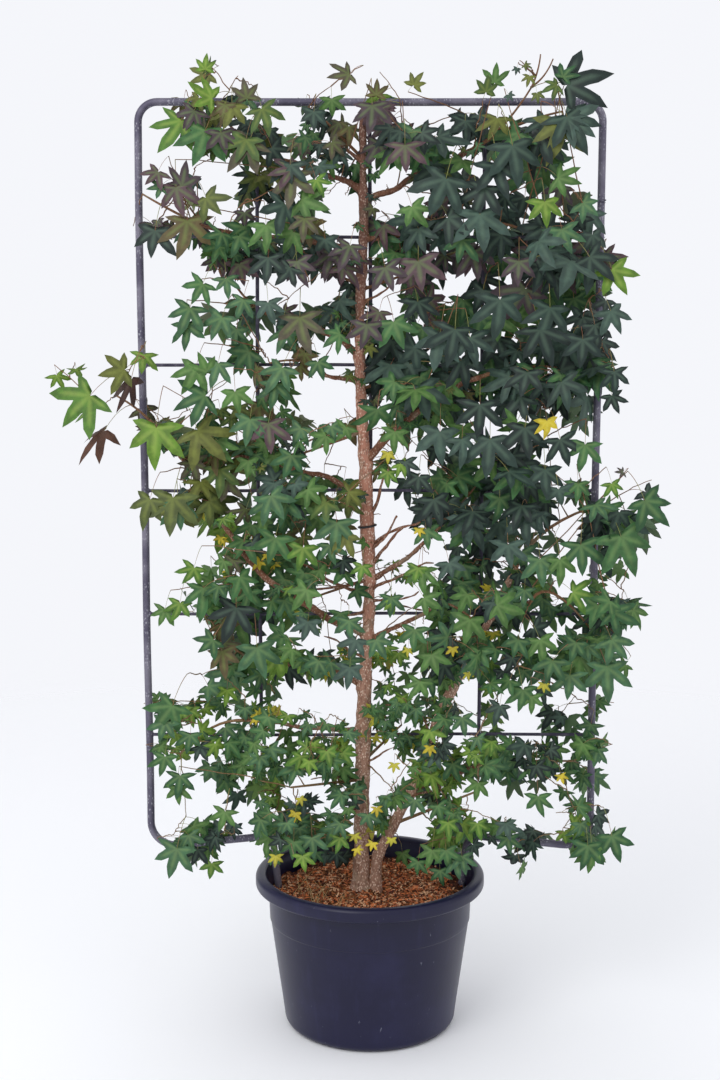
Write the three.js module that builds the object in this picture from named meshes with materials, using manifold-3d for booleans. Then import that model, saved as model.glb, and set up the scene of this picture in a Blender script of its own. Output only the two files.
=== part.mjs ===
// A potted sweetgum, trained flat on a tubular steel trellis that stands in its own nursery pot.
// Millimetres, +Z up. The origin is on the floor under the middle of the pot; the front faces -Y.

import * as THREE from 'three';
import { mergeVertices } from 'three/addons/utils/BufferGeometryUtils.js';
import Module from 'manifold-3d';

const wasm = await Module();
wasm.setup();

// ---------------------------------------------------------------- driving sizes

const GAP = 0.3; // clearance between pieces that touch
const SHORTEST_EDGE = 0.02; // the shortest edge that a joint between twigs may leave

const POT = {
  footRadius: 190,
  baseRadius: 211,
  baseHeight: 30,
  collarHeight: 263,
  collarRadius: 247.5,
  collarStep: 4,
  collarFlare: 2.5,
  lipHeight: 346,
  lipRadius: 281,
  rimHeight: 379,
  rimInnerRadius: 255,
  lipRound: 11,
  bevel: 3,
  wall: 4,
  facets: 28,
};

const SOIL = { top: 336, crown: 4, slope: 50 };

const FRAME = {
  y: 18,
  tube: 18,
  halfWidth: 542.5,
  top: 2224,
  topCorner: 45,
  bottom: 435,
  bottomCorner: 60,
  footRise: THREE.MathUtils.degToRad(5.8),
  legOffset: 240,
  legBend: 32,
  legEnd: 130,
  stub: 6,
};

const RODS = {
  diameter: 8,
  lowest: 715,
  pitch: 300,
  rows: 5,
  uprightDiameter: 9,
  uprightOffsets: [-268, 0, 268],
  uprightNames: ['left', 'centre', 'right'],
  overhang: 14,
};

// Stations up each stem: height, sideways place, depth and diameter.
const TRUNK = [
  [336.3, -21, -5, 48],
  [362, -21, -5, 41],
  [430, -21, -5, 38],
  [675, -17, -5, 36],
  [848, -13, -5, 33],
  [988, -4, -5, 28],
  [1110, -2, -5, 29],
  [1239, -7, -5, 35],
  [1330, -10, -5, 30],
  [1459, -17.5, -5, 29],
  [1592, -23, -5, 25],
  [1753, -24, -5, 22.5],
  [1939, -16, -5, 21.5],
  [2101, -18, -5, 15.5],
  [2196, -18.5, -5, 12],
];

const SECOND_STEM = [
  [336.3, 13, -16, 30],
  [418, 20, -16, 27],
  [489, 54, -17, 26],
  [638, 122, -20, 25],
  [780, 171, -22, 22],
  [909, 238, -22, 20],
  [1015, 290, -22, 18],
  [1142, 351, -25, 13],
];

// Each bough: where it leaves its parent, its tip, its climb in degrees at both ends, and its diameters.
const BOUGHS = [
  { name: 'bough_left_1', from: 'trunk', at: 2017, tip: [-188, -30, 2083], climb: [36, 20], width: [14, 10] },
  { name: 'bough_left_2', from: 'trunk', at: 1858, tip: [-423, -40, 1952], climb: [34, 26], width: [14, 8] },
  { name: 'bough_left_3', from: 'trunk', at: 1632, tip: [-223, 52, 1727], climb: [46, 16], width: [16, 10] },
  { name: 'bough_left_4', from: 'trunk', at: 1575, tip: [-115, -42, 1601], climb: [8, 30], width: [12, 9] },
  { name: 'bough_left_5', from: 'trunk', at: 1297, tip: [-298, -48, 1402], climb: [32, 12], width: [13, 9] },
  { name: 'bough_left_6', from: 'trunk', at: 966, tip: [-275, -42, 1140], climb: [30, 52], width: [19, 13] },
  { name: 'bough_left_6_upper', from: 'bough_left_6', tip: [-521, -34, 1487],
    climb: [66, 44], width: [12, 7] },
  { name: 'bough_left_7', from: 'trunk', at: 835, tip: [-259, 46, 893], climb: [36, 3], width: [12, 9] },
  { name: 'bough_left_8', from: 'trunk', at: 731, tip: [-301, -46, 766], climb: [2, 8], width: [12, 8] },
  { name: 'bough_right_1', from: 'trunk', at: 1991, tip: [257, -32, 2122], climb: [26, 30], width: [14, 11] },
  { name: 'bough_right_2', from: 'trunk', at: 1909, tip: [257, -42, 1940], climb: [7, 7], width: [12, 8] },
  { name: 'bough_right_3', from: 'trunk', at: 1376, tip: [257, -50, 1588], climb: [58, 24], width: [20, 12] },
  { name: 'bough_right_4', from: 'trunk', at: 1101, tip: [128, -36, 1196], climb: [26, 48], width: [13, 9] },
  { name: 'bough_right_5', from: 'trunk', at: 951, tip: [147, -62, 1044], climb: [32, 34], width: [12, 9] },
  { name: 'second_stem_bough_1', from: 'second_stem', at: 1015, tip: [383, -58, 1062],
    climb: [30, 24], width: [12, 9] },
  { name: 'second_stem_bough_2', from: 'second_stem', at: 577, tip: [346, 34, 642],
    climb: [28, 8], width: [12, 8] },
];

// Each mass: the limb its stem grows from, the space it keeps to, the place its stem reaches for,
// the number of leaves, the length of a leaf's middle lobe and its tint.
const MASSES = [
  { name: 'foliage_top_left', from: 'bough_left_1', x: [-470, -190], y: [-180, 190], z: [1990, 2310],
    head: [-352, -40, 2195], leaves: 10, lobe: 108, tint: 'olive' },
  { name: 'foliage_top_inner_left', from: 'trunk', at: 2092,
    x: [-187, -30], y: [-150, 160], z: [1990, 2290],
    head: [-120, 50, 2200], leaves: 7, lobe: 96, tint: 'mid' },
  { name: 'foliage_upper_far_left', from: 'bough_left_2', x: [-590, -425], y: [-140, 150], z: [1800, 2080],
    head: [-530, -20, 2010], leaves: 5, lobe: 92, tint: 'bronze' },
  { name: 'foliage_upper_left', from: 'bough_left_3', x: [-460, -225], y: [-190, 205], z: [1690, 1988],
    head: [-345, 70, 1840], leaves: 9, lobe: 110, tint: 'bronze' },
  { name: 'foliage_upper_inner_left', from: 'trunk', at: 1800,
    x: [-222, -36], y: [-190, 205], z: [1690, 1988],
    head: [-150, 70, 1860], leaves: 9, lobe: 106, tint: 'dark' },
  { name: 'foliage_shoulder_left', from: 'bough_left_4', x: [-330, -40], y: [-190, 200], z: [1522, 1687],
    head: [-235, -60, 1620], leaves: 8, lobe: 100, tint: 'mid' },
  { name: 'foliage_far_left', from: 'bough_left_6_upper', x: [-750, -523], y: [-120, 130], z: [1400, 1670],
    head: [-640, -30, 1545], leaves: 6, lobe: 100, tint: 'fresh' },
  { name: 'foliage_middle_left', from: 'bough_left_5', x: [-540, -300], y: [-190, 205], z: [1188, 1519],
    head: [-420, -60, 1370], leaves: 11, lobe: 114, tint: 'olive' },
  { name: 'foliage_middle_inner_left', from: 'trunk', at: 1458,
    x: [-297, -40], y: [-200, 215], z: [1188, 1519],
    head: [-190, -90, 1400], leaves: 11, lobe: 108, tint: 'mid' },
  { name: 'foliage_lower_left', from: 'bough_left_7', x: [-480, -262], y: [-190, 210], z: [822, 1185],
    head: [-390, 60, 990], leaves: 11, lobe: 106, tint: 'dark' },
  { name: 'foliage_lower_inner_left', from: 'trunk', at: 1105,
    x: [-259, -36], y: [-200, 215], z: [822, 1185],
    head: [-150, 90, 1040], leaves: 10, lobe: 104, tint: 'dark' },
  { name: 'foliage_base_left', from: 'bough_left_8', x: [-580, -303], y: [-180, 200], z: [370, 819],
    head: [-460, -40, 680], leaves: 11, lobe: 98, tint: 'mid' },
  { name: 'foliage_base_inner_left', from: 'trunk', at: 608, x: [-300, -44], y: [-210, 210], z: [400, 819],
    head: [-190, -80, 610], leaves: 11, lobe: 94, tint: 'olive' },
  { name: 'foliage_top_right', from: 'bough_right_1', x: [260, 620], y: [-200, 205], z: [1990, 2325],
    head: [440, -30, 2195], leaves: 12, lobe: 126, tint: 'dark' },
  { name: 'foliage_top_inner_right', from: 'trunk', at: 2110, x: [0, 257], y: [-160, 170], z: [1990, 2310],
    head: [140, 60, 2180], leaves: 9, lobe: 110, tint: 'mid' },
  { name: 'foliage_upper_inner_right', from: 'trunk', at: 1790,
    x: [4, 257], y: [-190, 205], z: [1700, 1987],
    head: [140, 80, 1850], leaves: 9, lobe: 112, tint: 'bronze' },
  { name: 'foliage_upper_right', from: 'bough_right_2', x: [260, 600], y: [-200, 215], z: [1744, 1987],
    head: [440, -20, 1870], leaves: 11, lobe: 120, tint: 'dark' },
  { name: 'foliage_middle_inner_right', from: 'trunk', at: 1560,
    x: [2, 257], y: [-190, 205], z: [1462, 1697],
    head: [140, 70, 1600], leaves: 8, lobe: 106, tint: 'dark' },
  { name: 'foliage_middle_upper_right', from: 'bough_right_3',
    x: [260, 600], y: [-200, 215], z: [1462, 1741],
    head: [440, -20, 1610], leaves: 11, lobe: 118, tint: 'dark' },
  { name: 'foliage_centre_right', from: 'bough_right_4', x: [60, 400], y: [-190, 205], z: [1160, 1459],
    head: [250, -30, 1330], leaves: 12, lobe: 108, tint: 'dark' },
  { name: 'foliage_far_right', from: 'second_stem', x: [403, 715], y: [-180, 195], z: [1144, 1459],
    head: [560, -30, 1290], leaves: 11, lobe: 114, tint: 'mid' },
  { name: 'foliage_lower_inner_right', from: 'bough_right_5', x: [120, 380], y: [-200, 210], z: [834, 1157],
    head: [255, -110, 1010], leaves: 10, lobe: 102, tint: 'dark' },
  { name: 'foliage_lower_right', from: 'second_stem_bough_1',
    x: [383.2, 640], y: [-190, 200], z: [834, 1141],
    head: [530, -40, 985], leaves: 10, lobe: 110, tint: 'dark' },
  { name: 'foliage_stem_right', from: 'trunk', at: 652, x: [8, 118], y: [-190, 195], z: [400, 955],
    head: [80, 95, 720], leaves: 7, lobe: 78, tint: 'olive' },
  { name: 'foliage_base_inner_right', from: 'second_stem', at: 500,
    x: [121, 345], y: [-205, 205], z: [400, 831],
    head: [255, -80, 600], leaves: 10, lobe: 92, tint: 'mid' },
  { name: 'foliage_base_right', from: 'second_stem_bough_2', x: [348, 640], y: [-180, 195], z: [370, 831],
    head: [500, 10, 650], leaves: 10, lobe: 98, tint: 'mid' },
];

// The furthest tips of the whole crown.
const CROWN = { x: [-758, 722], y: [-225, 235], z: [350, 2338] };

// ---------------------------------------------------------------- finishes

const FINISH = {
  pot: { color: 0x2e3244, roughness: 0.5, metalness: 0 },
  mulch: { color: 0x9c6a42, roughness: 0.95, metalness: 0 },
  bark: { color: 0x8a6c5c, roughness: 0.9, metalness: 0 },
  frame_steel: { color: 0x6c6874, roughness: 0.55, metalness: 0.6 },
  leaf_dark: { color: 0x374e48, roughness: 0.6, metalness: 0 },
  leaf_mid: { color: 0x3c6e46, roughness: 0.6, metalness: 0 },
  leaf_fresh: { color: 0x5a8c32, roughness: 0.6, metalness: 0 },
  leaf_olive: { color: 0x6e8232, roughness: 0.6, metalness: 0 },
  leaf_bronze: { color: 0x5e4e58, roughness: 0.6, metalness: 0 },
};

const materials = {};
for (const [name, settings] of Object.entries(FINISH)) {
  materials[name] = new THREE.MeshStandardMaterial({ name, flatShading: true, ...settings });
}

// ---------------------------------------------------------------- closed shapes and their solids

/** A solid from a closed geometry: equal vertices are merged and collapsed triangles dropped. */
function solidOf(geometry) {
  geometry.deleteAttribute('normal');
  geometry.deleteAttribute('uv');
  const merged = mergeVertices(geometry);
  const corners = merged.index.array;
  const kept = [];
  for (let t = 0; t < corners.length; t += 3) {
    const [a, b, c] = corners.slice(t, t + 3);
    if (a !== b && b !== c && c !== a) kept.push(a, b, c);
  }
  return new wasm.Manifold(new wasm.Mesh({
    numProp: 3,
    vertProperties: new Float32Array(merged.attributes.position.array),
    triVerts: new Uint32Array(kept),
  }));
}

/** A geometry from plain lists of vertices and triangles. */
function geometryOf(vertices, triangles) {
  const geometry = new THREE.BufferGeometry();
  const coordinates = vertices.flatMap((vertex) => vertex.toArray());
  geometry.setAttribute('position', new THREE.Float32BufferAttribute(coordinates, 3));
  geometry.setIndex(triangles.flat());
  return geometry;
}

/** A named mesh that shows a solid. */
function nodeOf(name, solid, material) {
  const { vertProperties, triVerts } = solid.getMesh();
  const geometry = new THREE.BufferGeometry();
  geometry.setAttribute('position', new THREE.BufferAttribute(vertProperties, 3));
  geometry.setIndex(new THREE.BufferAttribute(triVerts, 1));
  geometry.computeVertexNormals();
  const mesh = new THREE.Mesh(geometry, material);
  mesh.name = name;
  return mesh;
}

/** A turned solid from a half profile drawn in radius and height, starting and ending on the axis. */
function turned(profile) {
  const geometry = new THREE.LatheGeometry(profile.getPoints(2), POT.facets);
  geometry.rotateX(Math.PI / 2);
  return solidOf(geometry);
}

const FIRST_SIDE = new THREE.Vector3(0.1, 1, 0.2); // the way every bar's first side faces, more or less

/**
 * Rings of equal sides carried along a row of centres, closed by a flat face at each end.
 * The first ring stands square to startDirection where one is given.
 */
function sweep(centres, radii, sides, startDirection) {
  const last = centres.length - 1;
  const vertices = [];
  const triangles = [];
  let normal = FIRST_SIDE;
  centres.forEach((centre, ring) => {
    const ahead = centres[Math.min(ring + 1, last)];
    const behind = centres[Math.max(ring - 1, 0)];
    const tangent = new THREE.Vector3().subVectors(ahead, behind).normalize();
    if (ring === 0 && startDirection) tangent.copy(startDirection);
    normal = normal.clone().addScaledVector(tangent, -normal.dot(tangent)).normalize();
    const binormal = new THREE.Vector3().crossVectors(tangent, normal);
    for (let side = 0; side < sides; side++) {
      const turn = (side / sides) * 2 * Math.PI;
      vertices.push(centre.clone()
        .addScaledVector(normal, Math.cos(turn) * radii[ring])
        .addScaledVector(binormal, Math.sin(turn) * radii[ring]));
    }
  });
  for (let ring = 0; ring < last; ring++) {
    for (let side = 0; side < sides; side++) {
      const a = ring * sides + side;
      const b = ring * sides + ((side + 1) % sides);
      triangles.push([a, b, b + sides], [a, b + sides, a + sides]);
    }
  }
  const end = last * sides;
  for (let side = 1; side < sides - 1; side++) {
    triangles.push([0, side + 1, side], [end, end + side, end + side + 1]);
  }
  return solidOf(geometryOf(vertices, triangles));
}

const vector = ([x, y, z]) => new THREE.Vector3(x, y, z);

/** Numbers from 0 to 1 that repeat for the same seed: a 32-bit linear congruential rule. */
function seeded(seed) {
  let state = seed >>> 0;
  return () => {
    state = (Math.imul(state, 1664525) + 1013904223) >>> 0;
    return state / 4294967296;
  };
}

// ---------------------------------------------------------------- pot and mulch

/** The inner wall's radius at a height, between the floor and the collar. */
function potInnerRadius(height) {
  const low = { z: POT.baseHeight, r: POT.baseRadius - POT.wall };
  const high = { z: POT.collarHeight, r: POT.collarRadius - POT.collarStep - POT.wall };
  return THREE.MathUtils.mapLinear(height, low.z, high.z, low.r, high.r);
}

function potSolid() {
  const bend = POT.baseRadius - POT.footRadius;
  const underLip = POT.collarRadius + POT.collarFlare;
  const profile = new THREE.Path();
  profile.moveTo(0, 0);
  profile.lineTo(POT.footRadius, 0);
  profile.absarc(POT.footRadius, bend, bend, -Math.PI / 2, 0, false);
  profile.lineTo(POT.collarRadius - POT.collarStep, POT.collarHeight);
  profile.lineTo(POT.collarRadius, POT.collarHeight + POT.bevel);
  profile.lineTo(underLip, POT.lipHeight);
  profile.lineTo(POT.lipRadius, POT.lipHeight);
  profile.lineTo(POT.lipRadius, POT.rimHeight - POT.lipRound);
  profile.absarc(
    POT.lipRadius - POT.lipRound, POT.rimHeight - POT.lipRound, POT.lipRound, 0, Math.PI / 2, false,
  );
  profile.lineTo(POT.rimInnerRadius + POT.bevel, POT.rimHeight);
  profile.lineTo(POT.rimInnerRadius, POT.rimHeight - POT.bevel);
  profile.lineTo(underLip - POT.wall, POT.lipHeight);
  profile.lineTo(potInnerRadius(POT.collarHeight), POT.collarHeight);
  profile.lineTo(potInnerRadius(POT.baseHeight), POT.baseHeight);
  profile.lineTo(POT.footRadius, POT.wall);
  profile.lineTo(0, POT.wall);
  return turned(profile);
}

function soilSolid() {
  const shoulder = SOIL.top - SOIL.crown;
  const wallTop = THREE.MathUtils.mapLinear(
    shoulder, POT.collarHeight, POT.lipHeight,
    potInnerRadius(POT.collarHeight), POT.collarRadius + POT.collarFlare - POT.wall,
  );
  const profile = new THREE.Path();
  profile.moveTo(0, POT.wall + GAP);
  profile.lineTo(POT.footRadius - GAP, POT.wall + GAP);
  profile.lineTo(potInnerRadius(POT.baseHeight) - GAP, POT.baseHeight);
  profile.lineTo(potInnerRadius(POT.collarHeight) - GAP, POT.collarHeight);
  profile.lineTo(wallTop - GAP, shoulder);
  profile.lineTo(wallTop - SOIL.slope, SOIL.top);
  profile.lineTo(0, SOIL.top);
  return turned(profile);
}

// ---------------------------------------------------------------- trellis frame

const TUBE_SIDES = 8;
const ROD_SIDES = 8;

/** A round bar along a path drawn in the trellis plane, mirrored for the left side. */
function planeTube(path, diameter, side, depth, sides, grow = 0) {
  const centres = path.getPoints(2).map((p) => new THREE.Vector3(side * p.x, depth, p.y));
  return sweep(centres, centres.map(() => diameter / 2 + grow), sides);
}

/** The outer tube of one side: top corner, upright and bottom corner. */
function uprightPath() {
  const { halfWidth, top, topCorner, bottom, bottomCorner, footRise, stub } = FRAME;
  const inward = new THREE.Vector2(-Math.cos(footRise), Math.sin(footRise));
  const path = new THREE.Path();
  path.moveTo(halfWidth - topCorner - stub, top);
  path.lineTo(halfWidth - topCorner, top);
  path.absarc(halfWidth - topCorner, top - topCorner, topCorner, Math.PI / 2, 0, true);
  path.lineTo(halfWidth, bottom + bottomCorner);
  const arcEnd = -Math.PI / 2 - footRise;
  path.absarc(halfWidth - bottomCorner, bottom + bottomCorner, bottomCorner, 0, arcEnd, true);
  path.lineTo(path.currentPoint.x + inward.x * stub, path.currentPoint.y + inward.y * stub);
  return path;
}

/** One foot: the run that climbs inwards, its bend, and the leg that goes down into the mulch. */
function footPath() {
  const { halfWidth, bottom, bottomCorner, footRise, legOffset, legBend, legEnd, stub } = FRAME;
  const inward = new THREE.Vector2(-Math.cos(footRise), Math.sin(footRise));
  const down = new THREE.Vector2(-Math.sin(footRise), -Math.cos(footRise));
  const start = new THREE.Vector2(halfWidth - bottomCorner, bottom + bottomCorner)
    .addScaledVector(down, bottomCorner)
    .addScaledVector(inward, stub + GAP);
  const run = (start.x - legOffset - legBend) / Math.cos(footRise);
  const bend = start.clone().addScaledVector(inward, run);
  const centre = bend.clone().addScaledVector(down, legBend);
  const startAngle = Math.atan2(-down.y, -down.x);
  const heel = centre.clone().addScaledVector(inward, legBend);
  const path = new THREE.Path();
  path.moveTo(start.x, start.y);
  path.lineTo(bend.x, bend.y);
  path.absarc(centre.x, centre.y, legBend, startAngle, startAngle + Math.PI / 2, false);
  const drop = (heel.y - legEnd) / Math.cos(footRise);
  path.lineTo(heel.x + down.x * drop, legEnd);
  return path;
}

function straightPath(x0, z0, x1, z1) {
  const path = new THREE.Path();
  path.moveTo(x0, z0);
  path.lineTo(x1, z1);
  return path;
}

/** The trellis pieces by name; grow fattens every bar, for keeping other pieces clear. */
function framePieces(grow = 0) {
  const { halfWidth, top, topCorner, stub, tube, y } = FRAME;
  const pieces = {};
  const barEnd = halfWidth - topCorner - stub - GAP;
  const bar = straightPath(-barEnd, top, barEnd, top);
  pieces.frame_top = planeTube(bar, tube, 1, y, TUBE_SIDES, grow);
  for (const [label, side] of [['left', -1], ['right', 1]]) {
    pieces[`frame_upright_${label}`] = planeTube(uprightPath(), tube, side, y, TUBE_SIDES, grow);
    pieces[`frame_foot_${label}`] = planeTube(footPath(), tube, side, y, TUBE_SIDES, grow);
  }
  const rowEnd = halfWidth - tube / 2 - GAP;
  for (let row = 0; row < RODS.rows; row++) {
    const height = RODS.lowest + row * RODS.pitch;
    const rod = straightPath(-rowEnd, height, rowEnd, height);
    pieces[`rod_level_${row + 1}`] = planeTube(rod, RODS.diameter, 1, y, ROD_SIDES, grow);
  }
  const behind = y + (RODS.diameter + RODS.uprightDiameter) / 2 + GAP;
  const fatBar = planeTube(bar, tube, 1, y, TUBE_SIDES, GAP);
  RODS.uprightOffsets.forEach((offset, i) => {
    const rod = straightPath(offset, RODS.lowest - RODS.overhang, offset, top - tube / 4);
    const solid = planeTube(rod, RODS.uprightDiameter, 1, behind, ROD_SIDES, grow);
    pieces[`rod_upright_${RODS.uprightNames[i]}`] = solid.subtract(fatBar);
  });
  return pieces;
}

// ---------------------------------------------------------------- stems and boughs

const STEM_SIDES = 10;
const BOUGH_SIDES = 6;
const BOUGH_RINGS = 6;

const up = new THREE.Vector3(0, 0, 1);

/** A stem through its stations, with level rings, and a way to ask for its axis at a height. */
function stemLimb(stations) {
  const centres = stations.map(([z, x, y]) => new THREE.Vector3(x, y, z));
  const radii = stations.map(([, , , diameter]) => diameter / 2);
  const last = centres.length - 1;
  return {
    axisAt(height) {
      const next = Math.max(1, centres.findIndex((centre) => centre.z >= height));
      const share = (height - centres[next - 1].z) / (centres[next].z - centres[next - 1].z);
      return centres[next - 1].clone().lerp(centres[next], share);
    },
    solid: (grow = 0) => sweep(centres, radii.map((radius) => radius + grow), STEM_SIDES, up),
    tip: centres[last],
    tipDirection: centres[last].clone().sub(centres[last - 1]).normalize(),
    tipRadius: radii[last],
  };
}

/** A direction that points from one place towards another in plan, and climbs at an angle. */
function climbing(from, to, degrees) {
  const angle = THREE.MathUtils.degToRad(degrees);
  const plan = new THREE.Vector2(to.x - from.x, to.y - from.y).normalize();
  return new THREE.Vector3(plan.x * Math.cos(angle), plan.y * Math.cos(angle), Math.sin(angle));
}

/** A bough: a cubic curve that leaves its parent and meets its tip at the two climbs, tapering evenly. */
function boughLimb({ from, at, tip, climb, width }, limbs) {
  const parent = limbs[from];
  const carriesOn = at === undefined;
  const start = carriesOn ? parent.tip.clone().addScaledVector(parent.tipDirection, GAP) : parent.axisAt(at);
  const end = vector(tip);
  const handle = start.distanceTo(end) / 3;
  const leave = carriesOn ? parent.tipDirection : climbing(start, end, climb[0]);
  const arrive = climbing(start, end, climb[1]);
  const curve = new THREE.CubicBezierCurve3(
    start,
    start.clone().addScaledVector(leave, handle),
    end.clone().addScaledVector(arrive, -handle),
    end,
  );
  const centres = curve.getSpacedPoints(BOUGH_RINGS - 1);
  const radii = centres.map((_, i) => THREE.MathUtils.lerp(width[0], width[1], i / (BOUGH_RINGS - 1)) / 2);
  return {
    solid(grow = 0) {
      const body = sweep(centres, radii.map((radius) => radius + grow), BOUGH_SIDES, leave);
      return carriesOn ? body : body.subtract(parent.solid(GAP));
    },
    tip: end,
    tipDirection: centres[BOUGH_RINGS - 1].clone().sub(centres[BOUGH_RINGS - 2]).normalize(),
    tipRadius: width[1] / 2,
  };
}

// ---------------------------------------------------------------- foliage masses

const LEAF = {
  // The half outline of a five-lobed leaf: degrees off the middle lobe, and reach as a share of that lobe.
  outline: [[0, 1], [25, 0.46], [50, 0.95], [77, 0.42], [106, 0.74]],
  // Shares of the middle lobe: the neck's half width, the raised middle's place, the whole blade's middle,
  // its thickness, how its two halves slope away from the middle rib, how close its middle comes to the wood
  // and to the walls of the mass's space (deeper at the front and back), and how far its tips may pass those.
  neck: 0.05,
  hub: 0.14,
  middle: 0.25,
  thickness: 1 / 40,
  fold: 0.2,
  nearest: 0.3,
  inset: 0.26,
  insetDeep: 0.36,
  overhang: 0.4,
  // How a blade points and faces: along its twig, swung by chance, hanging a little and turned outwards.
  // Its turn away from its stalk has at least the sharpest cosine.
  follow: 0.6,
  swing: 0.9,
  swingDeep: 0.5,
  hang: 0.3,
  sharpest: 0.3,
  faceUp: 0.25,
  faceSwing: 0.43,
  // The spread of sizes either way, the size of the last tries, the tries for each leaf and the places
  // offered for each leaf, in turns of a few more places than leaves.
  variety: 0.12,
  small: 0.86,
  tries: 14,
  places: 5,
  turn: 1.25,
};

const TWIG = {
  sides: 3,
  section: [[0, 1], [-0.87, -0.5], [0.87, -0.5]],
  stemRings: 5,
  stemReach: 0.45,
  stemOnTrunk: 4.6,
  stemOnBough: 0.86,
  stemTip: 2.6,
  // A shoot's root, as a share of the wood it grows from, its least radius, and its radius at its joint.
  taper: 0.55,
  slenderest: 1.5,
  jointRadius: 1.3,
  // Where the joint lies on the way to the leaf, how far it sags, and how long a shoot has one, in lobes.
  joint: 0.55,
  sag: 0.05,
  jointed: 1,
  // Shoots leave a stretch of wood away from its ends, and cross it by no more than this length.
  firstShare: 0.12,
  lastShare: 0.95,
  longestRoot: 17,
};

/**
 * A leafy shoot: a twig of three edges through a few rings, whose last stretch is the leaf's stalk and opens
 * into a star of five lobes with a raised middle.
 */
function shootSolid(rings, base, along, facing, lobe) {
  const normal = facing.clone().addScaledVector(along, -facing.dot(along)).normalize();
  const across = new THREE.Vector3().crossVectors(normal, along);
  const place = (forward, sideways, lift) => base.clone()
    .addScaledVector(along, forward * lobe)
    .addScaledVector(across, sideways * lobe)
    .addScaledVector(normal, lift * lobe);
  const lobes = (side) => LEAF.outline.map(([degrees, reach]) => {
    const angle = THREE.MathUtils.degToRad(degrees);
    const sideways = Math.sin(angle) * reach;
    return place(Math.cos(angle) * reach, side * sideways, -LEAF.fold * sideways);
  });
  const rim = [...lobes(-1).reverse(), ...lobes(1).slice(1)];
  const neckDrop = -LEAF.fold * LEAF.neck;
  const vertices = [place(0, -LEAF.neck, neckDrop), ...rim, place(0, LEAF.neck, neckDrop)];
  const last = vertices.length - 1;
  const [tip, top, crest, firstRing] = [last / 2, last + 1, last + 2, last + 3];
  vertices.push(place(LEAF.hub, 0, LEAF.thickness), place(0, 0, LEAF.thickness));
  const heading = base.clone().sub(rings[0].point).normalize();
  const lift = normal.clone().addScaledVector(heading, -normal.dot(heading)).normalize();
  const side = new THREE.Vector3().crossVectors(lift, heading);
  rings.forEach(({ point, radius }) => {
    for (const [sideways, height] of TWIG.section) {
      vertices.push(point.clone()
        .addScaledVector(side, sideways * radius)
        .addScaledVector(lift, height * radius));
    }
  });
  const triangles = [
    [firstRing, firstRing + 2, firstRing + 1], [top, last, crest], [top, crest, 0], [0, last, tip],
  ];
  for (let i = 0; i < last; i++) {
    triangles.push([top, i, i + 1]);
  }
  for (let i = 1; i < tip; i++) {
    triangles.push([0, i + 1, i], [last, last - i, last - i - 1]);
  }
  for (let i = 0; i < rings.length; i++) {
    const [ridge, left, right] = [0, 1, 2].map((k) => firstRing + 3 * i + k);
    const next = i + 1 < rings.length ? [ridge + 3, left + 3, right + 3] : [crest, 0, last];
    const [nextRidge, nextLeft, nextRight] = next;
    triangles.push(
      [ridge, left, nextLeft], [ridge, nextLeft, nextRidge], [ridge, nextRidge, nextRight],
      [ridge, nextRight, right], [left, right, nextRight], [left, nextRight, nextLeft],
    );
  }
  return solidOf(geometryOf(vertices, triangles));
}

/** The box between the limits given along each axis. */
function boxOf({ x, y, z }) {
  return new THREE.Box3(new THREE.Vector3(x[0], y[0], z[0]), new THREE.Vector3(x[1], y[1], z[1]));
}

/** Whether a solid lies inside a room. */
function inRoom(solid, room) {
  const { min, max } = solid.boundingBox();
  return room.containsPoint(vector(min)) && room.containsPoint(vector(max));
}

/** Number i of the even spread from 0 to 1 that mirrors i's digits in a base (the Halton rule). */
function evenSpread(i, base) {
  let share = 0;
  for (let digit = 1 / base, rest = i; rest > 0; digit /= base, rest = Math.floor(rest / base)) {
    share += digit * (rest % base);
  }
  return share;
}

/** The point of a grown skeleton that lies nearest to a place, with the wood's radius there. */
function nearestWood(skeleton, place) {
  let best = { distance: Infinity };
  for (const { line, radii } of skeleton) {
    const share = THREE.MathUtils.clamp(
      line.closestPointToPointParameter(place, true), TWIG.firstShare, TWIG.lastShare,
    );
    const point = line.at(share, new THREE.Vector3());
    const distance = point.distanceTo(place);
    if (distance < best.distance) {
      best = { distance, point, radius: THREE.MathUtils.lerp(radii[0], radii[1], share) };
    }
  }
  return best;
}

/** The stem of a mass: a bent limb from its bough's tip, or from the trunk's side, to its head. */
function massStem(mass, limbs) {
  const parent = limbs[mass.from];
  const onSide = mass.at !== undefined;
  const head = vector(mass.head);
  const beyondTip = parent.tip.clone().addScaledVector(parent.tipDirection, GAP);
  const start = onSide ? parent.axisAt(mass.at) : beyondTip;
  const leave = onSide ? head.clone().sub(start).normalize() : parent.tipDirection;
  const thick = onSide ? TWIG.stemOnTrunk : parent.tipRadius * TWIG.stemOnBough;
  const curve = new THREE.QuadraticBezierCurve3(
    start,
    start.clone().addScaledVector(leave, start.distanceTo(head) * TWIG.stemReach),
    head,
  );
  const centres = curve.getSpacedPoints(TWIG.stemRings - 1);
  const radii = centres.map((_, i) => THREE.MathUtils.lerp(thick, TWIG.stemTip, i / (TWIG.stemRings - 1)));
  const solid = (grow = 0) => sweep(centres, radii.map((radius) => radius + grow), TWIG.sides, leave);
  return { centres, radii, solid, cutBy: onSide ? parent : null };
}

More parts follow.
